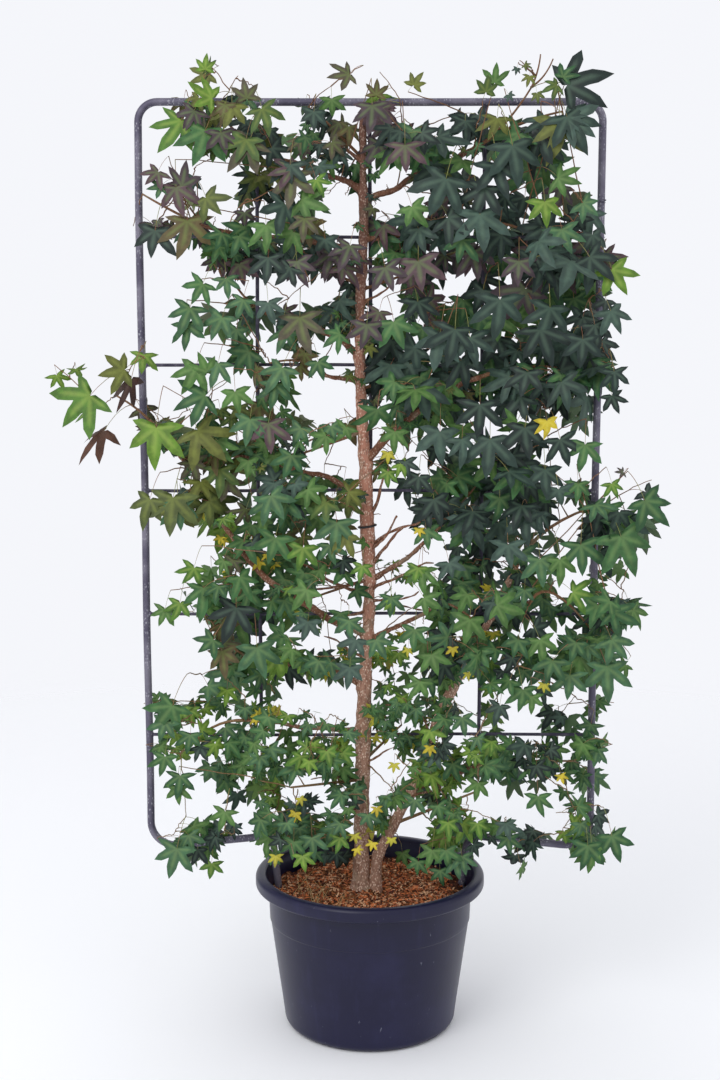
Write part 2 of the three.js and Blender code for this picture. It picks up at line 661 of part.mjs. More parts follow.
/** Places spread evenly through a room, in turns that each go from the skeleton outwards. */
function leafPlaces(mass, room, skeleton) {
  const inset = new THREE.Vector3(LEAF.inset, LEAF.insetDeep, LEAF.inset).multiplyScalar(mass.lobe);
  const size = room.getSize(new THREE.Vector3());
  const inner = size.clone().addScaledVector(inset, -2);
  const places = [];
  for (let i = 1; i <= mass.leaves * LEAF.places; i++) {
    const place = new THREE.Vector3(evenSpread(i, 2), evenSpread(i, 5), evenSpread(i, 3))
      .multiply(inner)
      .add(inset)
      .add(room.min);
    const turn = Math.floor(i / (mass.leaves * LEAF.turn));
    places.push({ place, order: nearestWood(skeleton, place).distance + turn * size.length() });
  }
  return places.sort((one, other) => one.order - other.order).map(({ place }) => place);
}

/** What the obstacles fill of a room. */
function filledPart(room, obstacles) {
  const size = room.getSize(new THREE.Vector3());
  const centre = room.getCenter(new THREE.Vector3());
  const box = new THREE.BoxGeometry(size.x, size.y, size.z).translate(centre.x, centre.y, centre.z);
  const block = solidOf(box);
  return obstacles.reduce((sum, solid) => sum.add(block.intersect(solid)), block.subtract(block));
}

/** Whether a shoot's root is sunk in the body in one plain piece and crosses it only there. */
function rootsWell(shoot, body) {
  const root = body.intersect(shoot);
  if (root.decompose().length !== 1 || root.genus() !== 0) return false;
  const { min, max } = root.boundingBox();
  return vector(min).distanceTo(vector(max)) <= TWIG.longestRoot;
}

/** Whether a solid is one body with no hollow sealed in it and no edge too short to be written out. */
function isSound(solid) {
  const { vertProperties, triVerts } = solid.getMesh();
  const corner = (i) => new THREE.Vector3().fromArray(vertProperties, 3 * i);
  let shortest = Infinity;
  for (let t = 0; t < triVerts.length; t += 3) {
    const [a, b, c] = [...triVerts.slice(t, t + 3)].map(corner);
    shortest = Math.min(shortest, a.distanceTo(b), b.distanceTo(c), c.distanceTo(a));
  }
  return shortest > SHORTEST_EDGE && solid.decompose().length === 1;
}

/**
 * One mass. Places for leaves are spread evenly through its room and taken from the stem outwards. Each leafy
 * shoot grows to its place from the nearest wood, and its own twig then carries the shoots further out.
 * A shoot that would touch anything else, or pass the room's walls by more than its overhang, is skipped.
 */
function growMass(mass, stem, obstacles, seed) {
  const random = seeded(seed);
  const spread = (size) => (random() - 0.5) * 2 * size;
  const room = boxOf(mass);
  const reach = room.clone().expandByScalar(mass.lobe * LEAF.overhang).intersect(boxOf(CROWN));
  const filled = filledPart(reach, obstacles);
  const depth = room.getCenter(new THREE.Vector3()).y;
  const skeleton = stem.centres.slice(1).map((point, i) => ({
    line: new THREE.Line3(stem.centres[i], point),
    radii: [stem.radii[i], stem.radii[i + 1]],
  }));
  let body = stem.solid();
  let grown = 0;
  for (const place of leafPlaces(mass, room, skeleton)) {
    if (grown >= mass.leaves) break;
    const near = nearestWood(skeleton, place);
    if (near.distance < mass.lobe * LEAF.nearest) continue;
    const rings = [{ point: near.point, radius: Math.max(TWIG.slenderest, near.radius * TWIG.taper) }];
    if (near.distance > mass.lobe * TWIG.jointed) {
      const joint = near.point.clone().lerp(place, TWIG.joint);
      joint.z -= near.distance * TWIG.sag;
      rings.push({ point: joint, radius: TWIG.jointRadius });
    }
    const heading = place.clone().sub(near.point).normalize();
    for (let attempt = 0; attempt < LEAF.tries; attempt++) {
      const along = heading.clone()
        .multiplyScalar(LEAF.follow)
        .add(new THREE.Vector3(spread(LEAF.swing), spread(LEAF.swingDeep), spread(LEAF.swing) - LEAF.hang))
        .normalize();
      const front = place.y < depth ? -1 : 1;
      const facing = new THREE.Vector3(spread(LEAF.faceSwing), front, LEAF.faceUp + spread(LEAF.faceSwing));
      const lobe = mass.lobe * (1 + spread(LEAF.variety)) * (attempt < LEAF.tries / 2 ? 1 : LEAF.small);
      const base = place.clone().addScaledVector(along, -LEAF.middle * lobe);
      const stalk = base.clone().sub(rings[rings.length - 1].point);
      if (along.dot(stalk.normalize()) < LEAF.sharpest) continue;
      const shoot = shootSolid(rings, base, along, facing, lobe);
      const fits = inRoom(shoot, reach) && filled.intersect(shoot).isEmpty() && rootsWell(shoot, body);
      const joined = fits ? body.add(shoot) : body;
      if (fits && isSound(joined)) {
        body = joined;
        grown++;
        if (rings.length > 1) {
          const line = new THREE.Line3(rings[0].point, rings[1].point);
          skeleton.push({ line, radii: rings.map(({ radius }) => radius) });
        }
        break;
      }
    }
  }
  return stem.cutBy ? body.subtract(stem.cutBy.solid(GAP)) : body;
}

// ---------------------------------------------------------------- the whole plant

const tree = new THREE.Group();
tree.name = 'potted_sweetgum';

const frame = framePieces();
let soil = soilSolid();
for (const label of ['left', 'right']) {
  soil = soil.subtract(framePieces(GAP)[`frame_foot_${label}`]);
}
tree.add(nodeOf('pot', potSolid(), materials.pot));
tree.add(nodeOf('mulch', soil, materials.mulch));
for (const [name, solid] of Object.entries(frame)) {
  tree.add(nodeOf(name, solid, materials.frame_steel));
}

const limbs = { trunk: stemLimb(TRUNK), second_stem: stemLimb(SECOND_STEM) };
for (const bough of BOUGHS) {
  limbs[bough.name] = boughLimb(bough, limbs);
}
const limbSolids = Object.entries(limbs).map(([name, limb]) => {
  const solid = name === 'second_stem' ? limb.solid().subtract(limbs.trunk.solid(GAP)) : limb.solid();
  tree.add(nodeOf(name, solid, materials.bark));
  return limb.solid(GAP);
});

// Foliage keeps out of the space that the pot fills, and this far from it.
const POT_CLEARANCE = 1;
const envelope = new THREE.Path();
envelope.moveTo(0, -POT_CLEARANCE);
envelope.lineTo(POT.lipRadius + POT_CLEARANCE, -POT_CLEARANCE);
envelope.lineTo(POT.lipRadius + POT_CLEARANCE, POT.rimHeight + POT_CLEARANCE);
envelope.lineTo(0, POT.rimHeight + POT_CLEARANCE);
const keepOut = [...limbSolids, ...Object.values(framePieces(GAP))]
  .reduce((sum, solid) => sum.add(solid), turned(envelope));

const FIRST_SEED = 11;
const SEED_STEP = 7;
const stems = MASSES.map((mass) => massStem(mass, limbs));
const grownMasses = [];
MASSES.forEach((mass, i) => {
  const otherStems = stems.filter((stem) => stem !== stems[i]).map((stem) => stem.solid(2 * GAP));
  const obstacles = [keepOut, ...otherStems, ...grownMasses];
  const solid = growMass(mass, stems[i], obstacles, FIRST_SEED + SEED_STEP * i);
  grownMasses.push(solid);
  tree.add(nodeOf(mass.name, solid, materials[`leaf_${mass.tint}`]));
});

export default tree;
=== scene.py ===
# A potted sweetgum, trained flat on a tubular steel trellis that stands in its own nursery pot.
# Metres, +Z up. The origin is on the floor under the middle of the pot, and the front faces -Y.
import math

import bpy
import numpy as np
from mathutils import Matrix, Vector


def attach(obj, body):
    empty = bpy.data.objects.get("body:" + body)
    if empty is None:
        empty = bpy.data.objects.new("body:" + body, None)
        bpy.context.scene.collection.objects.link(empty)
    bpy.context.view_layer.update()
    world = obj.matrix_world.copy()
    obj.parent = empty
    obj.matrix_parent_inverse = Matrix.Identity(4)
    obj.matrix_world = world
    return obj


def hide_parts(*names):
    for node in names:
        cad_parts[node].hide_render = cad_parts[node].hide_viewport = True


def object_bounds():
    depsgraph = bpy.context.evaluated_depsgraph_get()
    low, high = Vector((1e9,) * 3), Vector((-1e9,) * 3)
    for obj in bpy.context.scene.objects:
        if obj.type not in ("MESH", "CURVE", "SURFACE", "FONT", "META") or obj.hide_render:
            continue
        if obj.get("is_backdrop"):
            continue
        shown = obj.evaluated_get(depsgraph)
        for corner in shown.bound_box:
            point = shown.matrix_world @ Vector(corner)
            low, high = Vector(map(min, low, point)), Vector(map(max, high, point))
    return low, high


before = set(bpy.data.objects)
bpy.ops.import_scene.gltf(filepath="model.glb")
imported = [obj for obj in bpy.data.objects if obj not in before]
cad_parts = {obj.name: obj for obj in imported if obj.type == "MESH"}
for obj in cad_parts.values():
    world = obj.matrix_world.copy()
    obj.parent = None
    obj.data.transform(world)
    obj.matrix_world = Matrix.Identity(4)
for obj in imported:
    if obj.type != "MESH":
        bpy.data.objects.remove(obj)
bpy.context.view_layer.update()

# ---------------------------------------------------------------- studio
# The plant stands on a pale floor in a pale room. The camera looks at it from standing height, tipped
# a little down, and one broad soft lamp hangs above and to the left of the camera.
EYE = np.array([-0.0243, -3.576, 1.64])
EYE_TILT = math.radians(7.05)
ROOM_GREY = (0.915, 0.925, 0.965)

camera_data = bpy.data.cameras.new("camera")
camera_data.lens = 50
camera_data.sensor_width = 36
camera = bpy.data.objects.new("camera", camera_data)
camera.location = EYE.tolist()
camera.rotation_euler = (math.pi / 2 - EYE_TILT, 0, 0)
bpy.context.scene.collection.objects.link(camera)
bpy.context.scene.camera = camera
bpy.context.scene.view_settings.view_transform = "Standard"

world = bpy.data.worlds.new("studio_room")
bpy.context.scene.world = world
world.use_nodes = True
world.node_tree.nodes["Background"].inputs["Color"].default_value = (*ROOM_GREY, 1)
world.node_tree.nodes["Background"].inputs["Strength"].default_value = 1.0

lamp_data = bpy.data.lights.new("soft_lamp", "AREA")
lamp_data.energy = 62
lamp_data.size = 2.4
lamp = bpy.data.objects.new("soft_lamp", lamp_data)
lamp.location = (-1.9, -3.2, 3.7)
lamp.rotation_euler = (math.radians(52), 0, math.radians(-30))
bpy.context.scene.collection.objects.link(lamp)


class Signal:
    """A value in a shader: each operator adds the Math node that works the sum out."""

    def __init__(self, finish, socket):
        self.finish = finish
        self.socket = socket

    def combined(self, operation, first, second):
        return self.finish.node("Math", {0: first, 1: second}, operation=operation)

    def __add__(self, other):
        return self.combined("ADD", self, other)

    def __radd__(self, other):
        return self.combined("ADD", other, self)

    def __sub__(self, other):
        return self.combined("SUBTRACT", self, other)

    def __rsub__(self, other):
        return self.combined("SUBTRACT", other, self)

    def __mul__(self, other):
        return self.combined("MULTIPLY", self, other)

    def __rmul__(self, other):
        return self.combined("MULTIPLY", other, self)

    def between(self, low, high):
        """0 below low, 1 above high, and a smooth rise from one to the other."""
        return self.finish.node(
            "MapRange", {"Value": self, 1: low, 2: high}, interpolation_type="SMOOTHSTEP"
        )


class Finish:
    """A material on its way: one Principled shader whose constants are set first."""

    def __init__(self, name, **constants):
        self.material = bpy.data.materials.new(name)
        self.material.use_nodes = True
        self.tree = self.material.node_tree
        self.shader = self.tree.nodes["Principled BSDF"]
        for socket, value in constants.items():
            self.shader.inputs[socket.replace("_", " ")].default_value = value
        self.place = self.node("TexCoord", {}, output="Object")

    def node(self, kind, inputs, output=0, **settings):
        """A shader node: its settings first, then the value or link of each socket, and one output."""
        made = self.tree.nodes.new("ShaderNode" + kind)
        for setting, value in settings.items():
            setattr(made, setting, value)
        for socket, value in inputs.items():
            if isinstance(value, Signal):
                self.tree.links.new(value.socket, made.inputs[socket])
            else:
                made.inputs[socket].default_value = value
        return Signal(self, made.outputs[output])

    def stretched(self, scale):
        """The place on the piece with each axis scaled, for patterns longer one way than another."""
        return self.node("Mapping", {"Vector": self.place, "Scale": scale})

    def noise(self, scale, detail=3.0, roughness=0.55, place=None):
        """Cloudy chance from 0 to 1, with scale blotches to the metre."""
        values = {"Vector": place or self.place, "Scale": scale, "Detail": detail, "Roughness": roughness}
        return self.node("TexNoise", values, output="Fac")

    def cells(self, scale, stretch):
        """The distance to the nearest of many scattered points, for specks."""
        return self.node("TexVoronoi", {"Vector": self.stretched(stretch), "Scale": scale})

    def height(self):
        """The height above the floor."""
        return self.node("SeparateXYZ", {0: self.place}, output=2)

    def blend(self, mask, one, other):
        """One colour where the mask is 0 and another where it is 1."""
        return self.node("Mix", {0: mask, 6: one, 7: other}, output=2, data_type="RGBA")

    def put(self, **links):
        """Links signals to the shader's sockets."""
        for socket, signal in links.items():
            self.tree.links.new(signal.socket, self.shader.inputs[socket.replace("_", " ")])

    def rough_up(self, height, distance, strength=1.0):
        """Relief finer than the mesh: a height from 0 to 1 that spans a distance in metres."""
        values = {"Height": height, "Distance": distance, "Strength": strength}
        self.put(Normal=self.node("Bump", values))


def tint(red, green, blue):
    """A screen colour from 0 to 255 as linear red, green, blue and alpha."""
    shares = (np.array([red, green, blue]) / 255 + 0.055) / 1.055
    return (*np.power(shares, 2.4).tolist(), 1.0)


def two_tone(name, scale, detail, limits, one, other, **constants):
    """A finish that wanders between two linear colours in blotches, scale of them to the metre."""
    finish = Finish(name, **constants)
    cloud = finish.noise(scale, detail)
    finish.put(Base_Color=finish.blend(cloud.between(*limits) if limits else cloud, one, other))
    return finish


def add_piece(name, vertices, faces, *finishes):
    """A smooth-shaded object from arrays of vertices and faces, with its materials in slots."""
    mesh = bpy.data.meshes.new(name)
    mesh.from_pydata(vertices.tolist(), [], faces)
    mesh.shade_smooth()
    for finish in finishes:
        mesh.materials.append(finish.material)
    piece = bpy.data.objects.new(name, mesh)
    bpy.context.scene.collection.objects.link(piece)
    return piece


# The floor has no edge: past a few metres it fades into the room.
FLOOR_HALF = 6
floor_finish = Finish("studio_floor", Roughness=0.7, Specular_IOR_Level=0.2)
floor_finish.shader.inputs["Base Color"].default_value = (0.965, 0.97, 0.98, 1)
from_middle = floor_finish.node("VectorMath", {0: floor_finish.place}, output="Value", operation="LENGTH")
fading = floor_finish.node("MixShader", {0: from_middle.between(1.6, 5.0)})
floor_tree = floor_finish.tree
floor_tree.links.new(floor_finish.shader.outputs[0], fading.socket.node.inputs[1])
see_through = floor_tree.nodes.new("ShaderNodeBsdfTransparent")
floor_tree.links.new(see_through.outputs[0], fading.socket.node.inputs[2])
floor_tree.links.new(fading.socket, floor_tree.nodes["Material Output"].inputs["Surface"])
corners = FLOOR_HALF * np.array([[-1, -1, 0], [1, -1, 0], [1, 1, 0], [-1, 1, 0]], float)
floor = add_piece("floor", corners, [(0, 1, 2, 3)], floor_finish)
floor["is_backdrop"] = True


# ---------------------------------------------------------------- pot
# A round container of thick blue-black plastic, moulded in one piece: a tapered wall with a rounded foot,
# a collar with a fine step, and a heavy rolled rim. It is dull, scuffed low down and dusty.
POT_PROFILE_SIDES = 144
POT_FOOT = 0.190
POT_BEND = 0.021
POT_WALL = 0.004


def arc(centre_r, centre_z, radius, start, end, count):
    """Points on a circle in a half profile, from one angle to another in degrees."""
    turn = np.radians(np.linspace(start, end, count))
    return np.c_[centre_r + radius * np.cos(turn), centre_z + radius * np.sin(turn)]


def full_turn(sides):
    """As many angles as a ring has sides, evenly spaced once round."""
    return np.linspace(0, 2 * math.pi, sides, endpoint=False)


def xyz(x, y, z):
    """Places or directions (..., 3) from their three parts, each a number or an array."""
    return np.stack(np.broadcast_arrays(x, y, z), axis=-1)


def turned(profile, sides):
    """A closed surface of revolution: each profile point (r, z) becomes a ring; the ends meet the axis."""
    turn = full_turn(sides)
    r, z = profile[1:-1].T[:, :, None]
    points = xyz(r * np.cos(turn), r * np.sin(turn), z)
    vertices = np.vstack([points.reshape(-1, 3), [[0, 0, profile[0, 1]], [0, 0, profile[-1, 1]]]])
    return vertices, round_faces(len(r), sides)


def round_faces(rings, sides):
    """Faces over rings of points, bottom ring first, each end closed round one middle point."""
    here = np.arange(rings * sides).reshape(rings, sides)
    after = np.roll(here, -1, axis=1)
    quads = np.stack([here[:-1], after[:-1], after[1:], here[1:]], axis=-1).reshape(-1, 4)
    first, last = rings * sides, rings * sides + 1
    start = np.stack([after[0], here[0], np.full(sides, first)], axis=-1)
    end = np.stack([here[-1], after[-1], np.full(sides, last)], axis=-1)
    return quads.tolist() + start.tolist() + end.tolist()


pot_profile = np.vstack([
    [[0, 0], [0.1, 0], [0.178, 0]],
    arc(POT_FOOT, POT_BEND, POT_BEND, -90, 0, 10),
    np.c_[np.linspace(0.2135, 0.2442, 16), np.linspace(0.04, 0.2600, 16)],
    [[0.2445, 0.2626], [0.2452, 0.2634], [0.2462, 0.2642], [0.2466, 0.2655]],
    np.c_[np.linspace(0.2470, 0.2496, 7), np.linspace(0.275, 0.338, 7)],
    [[0.2502, 0.3436], [0.2512, 0.3462], [0.2600, 0.3464], [0.2700, 0.3462]],
    arc(0.2735, 0.3535, 0.0075, -90, 0, 8),
    arc(0.2690, 0.3670, 0.0120, 0, 90, 9),
    arc(0.2625, 0.3715, 0.0075, 90, 180, 8),
    [[0.2540, 0.366], [0.2510, 0.356], [0.2470, 0.346], [0.2440, 0.30], [0.2395, 0.263]],
    [[0.225, 0.15], [0.207, 0.030], [0.190, POT_WALL], [0, POT_WALL]],
])
pot_finish = Finish("pot_plastic", Specular_IOR_Level=0.36, IOR=1.5)
pot_cloud = pot_finish.noise(7.0, 4.0)
pot_grain = pot_finish.noise(260.0, 2.0)
pot_streaks = pot_finish.noise(38.0, 4.0, 0.6, pot_finish.stretched((1.0, 1.0, 0.12)))
low_down = 1 - pot_finish.height().between(0.02, 0.16)
scratches = pot_finish.noise(90.0, 3.0, 0.7, pot_finish.stretched((1.0, 1.0, 0.45))).between(0.69, 0.75)
dusty = pot_cloud.between(0.45, 0.75) * 0.25 + pot_streaks.between(0.52, 0.8) * 0.22 + low_down * 0.10
plastic = pot_finish.blend(dusty, tint(13, 12, 46), tint(44, 44, 86))
plastic = pot_finish.blend(scratches * 0.5, plastic, tint(128, 130, 146))
pot_finish.put(Base_Color=plastic, Roughness=0.28 + 0.16 * pot_cloud)
pot_finish.rough_up(pot_grain * 0.5 + pot_streaks * 0.5, 0.0006, 0.6)
pot = add_piece("pot_shell", *turned(pot_profile, POT_PROFILE_SIDES), pot_finish)
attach(pot, "root")
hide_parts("pot")


# ---------------------------------------------------------------- mulch
# Loose orange-brown chips of bark and wood, 5 to 15 mm long, tipped level into the top of the pot. Painted
# shade darkens them along the wall at the right and back, and a little dry grass has come up through them.
MULCH_TOP = 0.336
MULCH_RADIUS = 0.2435
CHIPS = 5200
CHIP_SIZES = [(0.005, 0.015), (0.0025, 0.006), (0.0008, 0.002)]  # limits of length, width and thickness
GRASS_BLADES = 26


def ripple(points, wavelength, seed, waves=26):
    """Smooth chance relief from about -1 to 1: a sum of plane waves of like length and chance direction."""
    chance = np.random.default_rng(seed)
    ways = chance.normal(size=(waves, 3))
    length = np.linalg.norm(ways, axis=1, keepdims=True)
    ways *= (2 * math.pi / wavelength) * chance.uniform(0.6, 1.5, (waves, 1)) / length
    starts = chance.uniform(0, 2 * math.pi, waves)
    return np.sin(points @ ways.T + starts).sum(axis=-1) * math.sqrt(2 / waves)


def mulch_level(x, y):
    """The mulch's height at a place: flat, lumpy by a few millimetres, and lower along the wall."""
    flat = xyz(x, y, 0)
    lumps = 0.0035 * ripple(flat, 0.05, 3) + 0.0015 * ripple(flat, 0.016, 4)
    return MULCH_TOP - 0.004 + lumps - 0.012 * np.clip((np.hypot(x, y) - 0.20) / 0.05, 0, 1) ** 2


mulch_rings = np.linspace(0.002, MULCH_RADIUS, 60)
mulch_profile = np.vstack([[[0, 0.0045], [0.18, 0.0045], [0.205, 0.03], [0.2390, 0.263]],
                           np.c_[mulch_rings[::-1], np.full(60, MULCH_TOP)], [[0, MULCH_TOP]]])
mulch_vertices, mulch_faces = turned(mulch_profile, 120)
is_top = mulch_vertices[:, 2] > 0.3
mulch_vertices[is_top, 2] = mulch_level(mulch_vertices[is_top, 0], mulch_vertices[is_top, 1])
bed_finish = two_tone("mulch_bed", 160.0, 4.0, (0.4, 0.65), tint(66, 42, 32), tint(150, 98, 62),
                      Roughness=0.95, Specular_IOR_Level=0.1)
mulch_bed = add_piece("mulch_bed", mulch_vertices, mulch_faces, bed_finish)

chip_chance = np.random.default_rng(17)
BOX = np.array([[x, y, z] for z in (-1, 1) for x, y in ((-1, -1), (1, -1), (1, 1), (-1, 1))], float) / 2
BOX_FACES = np.array([[3, 2, 1, 0], [4, 5, 6, 7], [0, 1, 5, 4], [1, 2, 6, 5], [2, 3, 7, 6], [3, 0, 4, 7]])


def unit(vectors):
    """Vectors at length 1."""
    return vectors / np.linalg.norm(vectors, axis=-1, keepdims=True)


def turned_axes(ahead, up):
    """Right-handed axes (ahead, across, up) from rough directions, as the rows of one matrix each."""
    ahead = unit(ahead)
    across = unit(np.cross(up, ahead))
    return np.stack([ahead, across, np.cross(ahead, across)], axis=-2)


chip_r = 0.241 * np.sqrt(chip_chance.uniform(0, 1, CHIPS))
chip_turn = chip_chance.uniform(0, 2 * math.pi, CHIPS)
chip_x, chip_y = chip_r * np.cos(chip_turn), chip_r * np.sin(chip_turn)
chip_ahead = xyz(*[chip_chance.normal(0, spread, CHIPS) for spread in (1, 1, 0.35)])
chip_up = xyz(*[chip_chance.normal(0, 0.4, CHIPS) for _ in range(2)], 1)
chip_size = xyz(*[chip_chance.uniform(*limits, CHIPS) for limits in CHIP_SIZES])
corner_cut = chip_chance.uniform(0.45, 1.1, (CHIPS, 8, 3))
chip_local = BOX * corner_cut * chip_size[:, None]
chip_centre = xyz(chip_x, chip_y, mulch_level(chip_x, chip_y) + 0.0015)
chip_axes = turned_axes(chip_ahead, chip_up)
chip_vertices = np.einsum("nvi,nij->nvj", chip_local, chip_axes) + chip_centre[:, None]
outside = np.hypot(chip_vertices[..., 0], chip_vertices[..., 1]).max(axis=1) > 0.2425
chip_vertices = chip_vertices[~outside]
chip_faces = (BOX_FACES + 8 * np.arange(len(chip_vertices))[:, None, None]).reshape(-1, 4)
CHIP_TINTS = {"orange": (214, 126, 78), "tan": (232, 184, 144), "brown": (160, 92, 64),
              "dark": (86, 50, 42)}
chip_finishes = []
for chip_tint, colour in CHIP_TINTS.items():
    darker = tuple(0.55 * c for c in tint(*colour)[:3])
    chip_finishes.append(two_tone("chip_" + chip_tint, 420.0, 2.0, (0.35, 0.7), tint(*colour), (*darker, 1),
                                  Roughness=0.9, Specular_IOR_Level=0.15))
chips = add_piece("mulch_chips", chip_vertices.reshape(-1, 3), chip_faces.tolist(), *chip_finishes)
chip_kind = chip_chance.choice(4, len(chip_vertices), p=[0.34, 0.30, 0.22, 0.14])
# painted shade: most chips close to the wall at the right and back are given the dark tint
wall_shade_zone = (np.hypot(chip_x, chip_y) > 0.200)[~outside] & ((chip_x > 0.04) | (chip_y > 0.10))[~outside]
shaded_by_wall = wall_shade_zone & (chip_chance.uniform(size=len(chip_kind)) < 0.8)
chip_kind = np.where(shaded_by_wall, list(CHIP_TINTS).index("dark"), chip_kind)
chips.data.polygons.foreach_set("material_index", np.repeat(chip_kind, 6).astype(np.int32))
chips.data.polygons.foreach_set("use_smooth", np.zeros(len(chip_faces), bool))


def tubes(paths, radii, sides, toward=None):
    """Round bars carried along paths (n, rings, 3), all with as many rings and sides.

    Each ring lies square to its path, with its first side towards the axis that its bar runs least along,
    or towards a given one. A radius may differ from bar to bar, ring to ring and side to side. The ends are
    closed.
    """
    count, rings = paths.shape[:2]
    along = unit(np.gradient(paths, axis=1))
    if toward is None:
        overall = np.abs(unit(paths[:, -1] - paths[:, 0] + 1e-9))
        toward = np.eye(3)[np.argmin(overall + [0.0, -0.2, 0.0], axis=1)][:, None]
    normal = unit(toward - (toward * along).sum(-1, keepdims=True) * along)
    binormal = np.cross(along, normal)
    turn = full_turn(sides)[:, None]
    if np.ndim(radii) < 3:
        radii = np.expand_dims(radii, -1)
    radii = np.broadcast_to(radii, (count, rings, sides))
    spokes = np.cos(turn) * normal[:, :, None] + np.sin(turn) * binormal[:, :, None]
    round_points = paths[:, :, None] + radii[..., None] * spokes
    vertices = np.concatenate([round_points.reshape(count, -1, 3), paths[:, :1], paths[:, -1:]], axis=1)
    each = rings * sides + 2
    one = round_faces(rings, sides)
    faces = [[v + each * i for v in face] for i in range(count) for face in one]
    return vertices.reshape(-1, 3), faces


grass_chance = np.random.default_rng(5)
grass_turn = np.radians(grass_chance.uniform(195, 250, GRASS_BLADES))
grass_r = grass_chance.uniform(0.14, 0.225, GRASS_BLADES)
grass_foot = xyz(grass_r * np.cos(grass_turn), grass_r * np.sin(grass_turn), MULCH_TOP - 0.004)
grass_lean = xyz(*[grass_chance.normal(*lean, GRASS_BLADES) for lean in ((0, 0.5), (-0.1, 0.4))], 1)
grass_length = grass_chance.uniform(0.03, 0.085, GRASS_BLADES)[:, None, None]
grass_share = np.linspace(0, 1, 6)[None, :, None]
grass_bend = grass_chance.normal(0, 0.5, (GRASS_BLADES, 1, 3)) * [1, 1, 0.2]
grass_paths = grass_foot[:, None] + grass_length * (grass_share * unit(grass_lean)[:, None]
                                                    + grass_share ** 2 * grass_bend * 0.6)
straw_finish = two_tone("dry_grass", 60.0, 3.0, None, tint(196, 172, 120), tint(150, 128, 84), Roughness=0.8)
grass_radii = 0.0009 * (1 - 0.7 * grass_share[..., 0])
grass = add_piece("dry_grass", *tubes(grass_paths, grass_radii, 3), straw_finish)
for bed_piece in (mulch_bed, chips, grass):
    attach(bed_piece, "root")
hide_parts("mulch")
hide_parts("mulch")


# ---------------------------------------------------------------- trellis
# One 18 mm steel tube bent round the whole plant, its two legs pushed into the pot, with 8 mm rods welded
# across it and three thinner uprights behind them. The steel is galvanised, weathered grey and speckled.
TRELLIS_Y = 0.018
TUBE_RADIUS = 0.009
HALF_WIDTH = 0.5425
TOP_BAR = 2.224
TOP_CORNER = 0.045
BOTTOM_CORNER = 0.060
BOTTOM_BAR = 0.435
FOOT_RISE = math.radians(5.8)
LEG_OFFSET = 0.240
LEG_BEND = 0.032
LEG_END = 0.132
ROD_HEIGHTS = [0.715 + 0.300 * row for row in range(5)]
ROD_RADIUS = 0.004
ROD_SWAY = 0.0015
UPRIGHT_RADIUS = 0.0045
UPRIGHTS = {"left": -0.268, "centre": 0.0, "right": 0.268}
UPRIGHT_Y = TRELLIS_Y + ROD_RADIUS + UPRIGHT_RADIUS + 0.0003
UPRIGHT_END = 0.701


def half_trellis():
    """The right half of the outer tube, (x, z) from the middle of the top bar down to the leg's end."""
    inward = np.array([-math.cos(FOOT_RISE), math.sin(FOOT_RISE)])
    down = np.array([-math.sin(FOOT_RISE), -math.cos(FOOT_RISE)])
    rise = math.degrees(FOOT_RISE)
    top = np.c_[np.linspace(0, HALF_WIDTH - TOP_CORNER, 40), np.full(40, TOP_BAR)]
    corner = arc(HALF_WIDTH - TOP_CORNER, TOP_BAR - TOP_CORNER, TOP_CORNER, 90, 0, 12)
    upright_z = np.linspace(TOP_BAR - TOP_CORNER, BOTTOM_BAR + BOTTOM_CORNER, 110)
    upright = np.c_[np.full(110, HALF_WIDTH), upright_z]
    heel = arc(HALF_WIDTH - BOTTOM_CORNER, BOTTOM_BAR + BOTTOM_CORNER, BOTTOM_CORNER, 0, -90 - rise, 14)
    run = (heel[-1, 0] - LEG_OFFSET - LEG_BEND) / math.cos(FOOT_RISE)
    foot = heel[-1] + inward * np.linspace(0, run, 24)[:, None]
    centre = foot[-1] + down * LEG_BEND
    bend = arc(*centre, LEG_BEND, 90 - rise, 180 - rise, 10)
    drop = (bend[-1, 1] - LEG_END) / math.cos(FOOT_RISE)
    leg = bend[-1] + down * np.linspace(0, drop, 24)[:, None]
    return np.vstack([top, corner[1:], upright[1:], heel[1:], foot[1:], bend[1:], leg[1:]])


def bar(name, path, radius, sides, finish, toward=None):
    """One piece: a bar of even width along a path."""
    return add_piece(name, *tubes(path[None], np.full((1, len(path)), radius), sides, toward), finish)


half_path = half_trellis()
whole_path = np.vstack([half_path[::-1] * [-1, 1], half_path[1:]])
tube_path = xyz(whole_path[:, 0], TRELLIS_Y, whole_path[:, 1])
tube_path[:, 1] += 0.0012 * ripple(tube_path, 0.5, 21)
tube_path[:, 0] += 0.0012 * ripple(tube_path, 0.7, 22)
steel_finish = Finish("weathered_steel", Metallic=0.35, Specular_IOR_Level=0.4)
steel_cloud = steel_finish.noise(14.0, 4.0)
steel_specks = 1 - steel_finish.cells(210.0, (1, 1, 0.55)).between(0.20, 0.38)
steel_specks = steel_specks * steel_finish.noise(24.0, 2.0).between(0.42, 0.56)
steel = steel_finish.blend(steel_cloud.between(0.35, 0.7), tint(84, 80, 98), tint(124, 120, 134))
steel = steel_finish.blend(steel_specks * 0.55, steel, tint(182, 182, 190))
steel_finish.put(Base_Color=steel, Roughness=0.45 + 0.25 * steel_cloud)
steel_finish.rough_up(steel_finish.noise(220.0, 3.0), 0.0005, 0.5)
tube = bar("trellis_tube", tube_path, TUBE_RADIUS, 20, steel_finish)
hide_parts("frame_top", "frame_upright_left", "frame_upright_right",
            "frame_foot_left", "frame_foot_right")

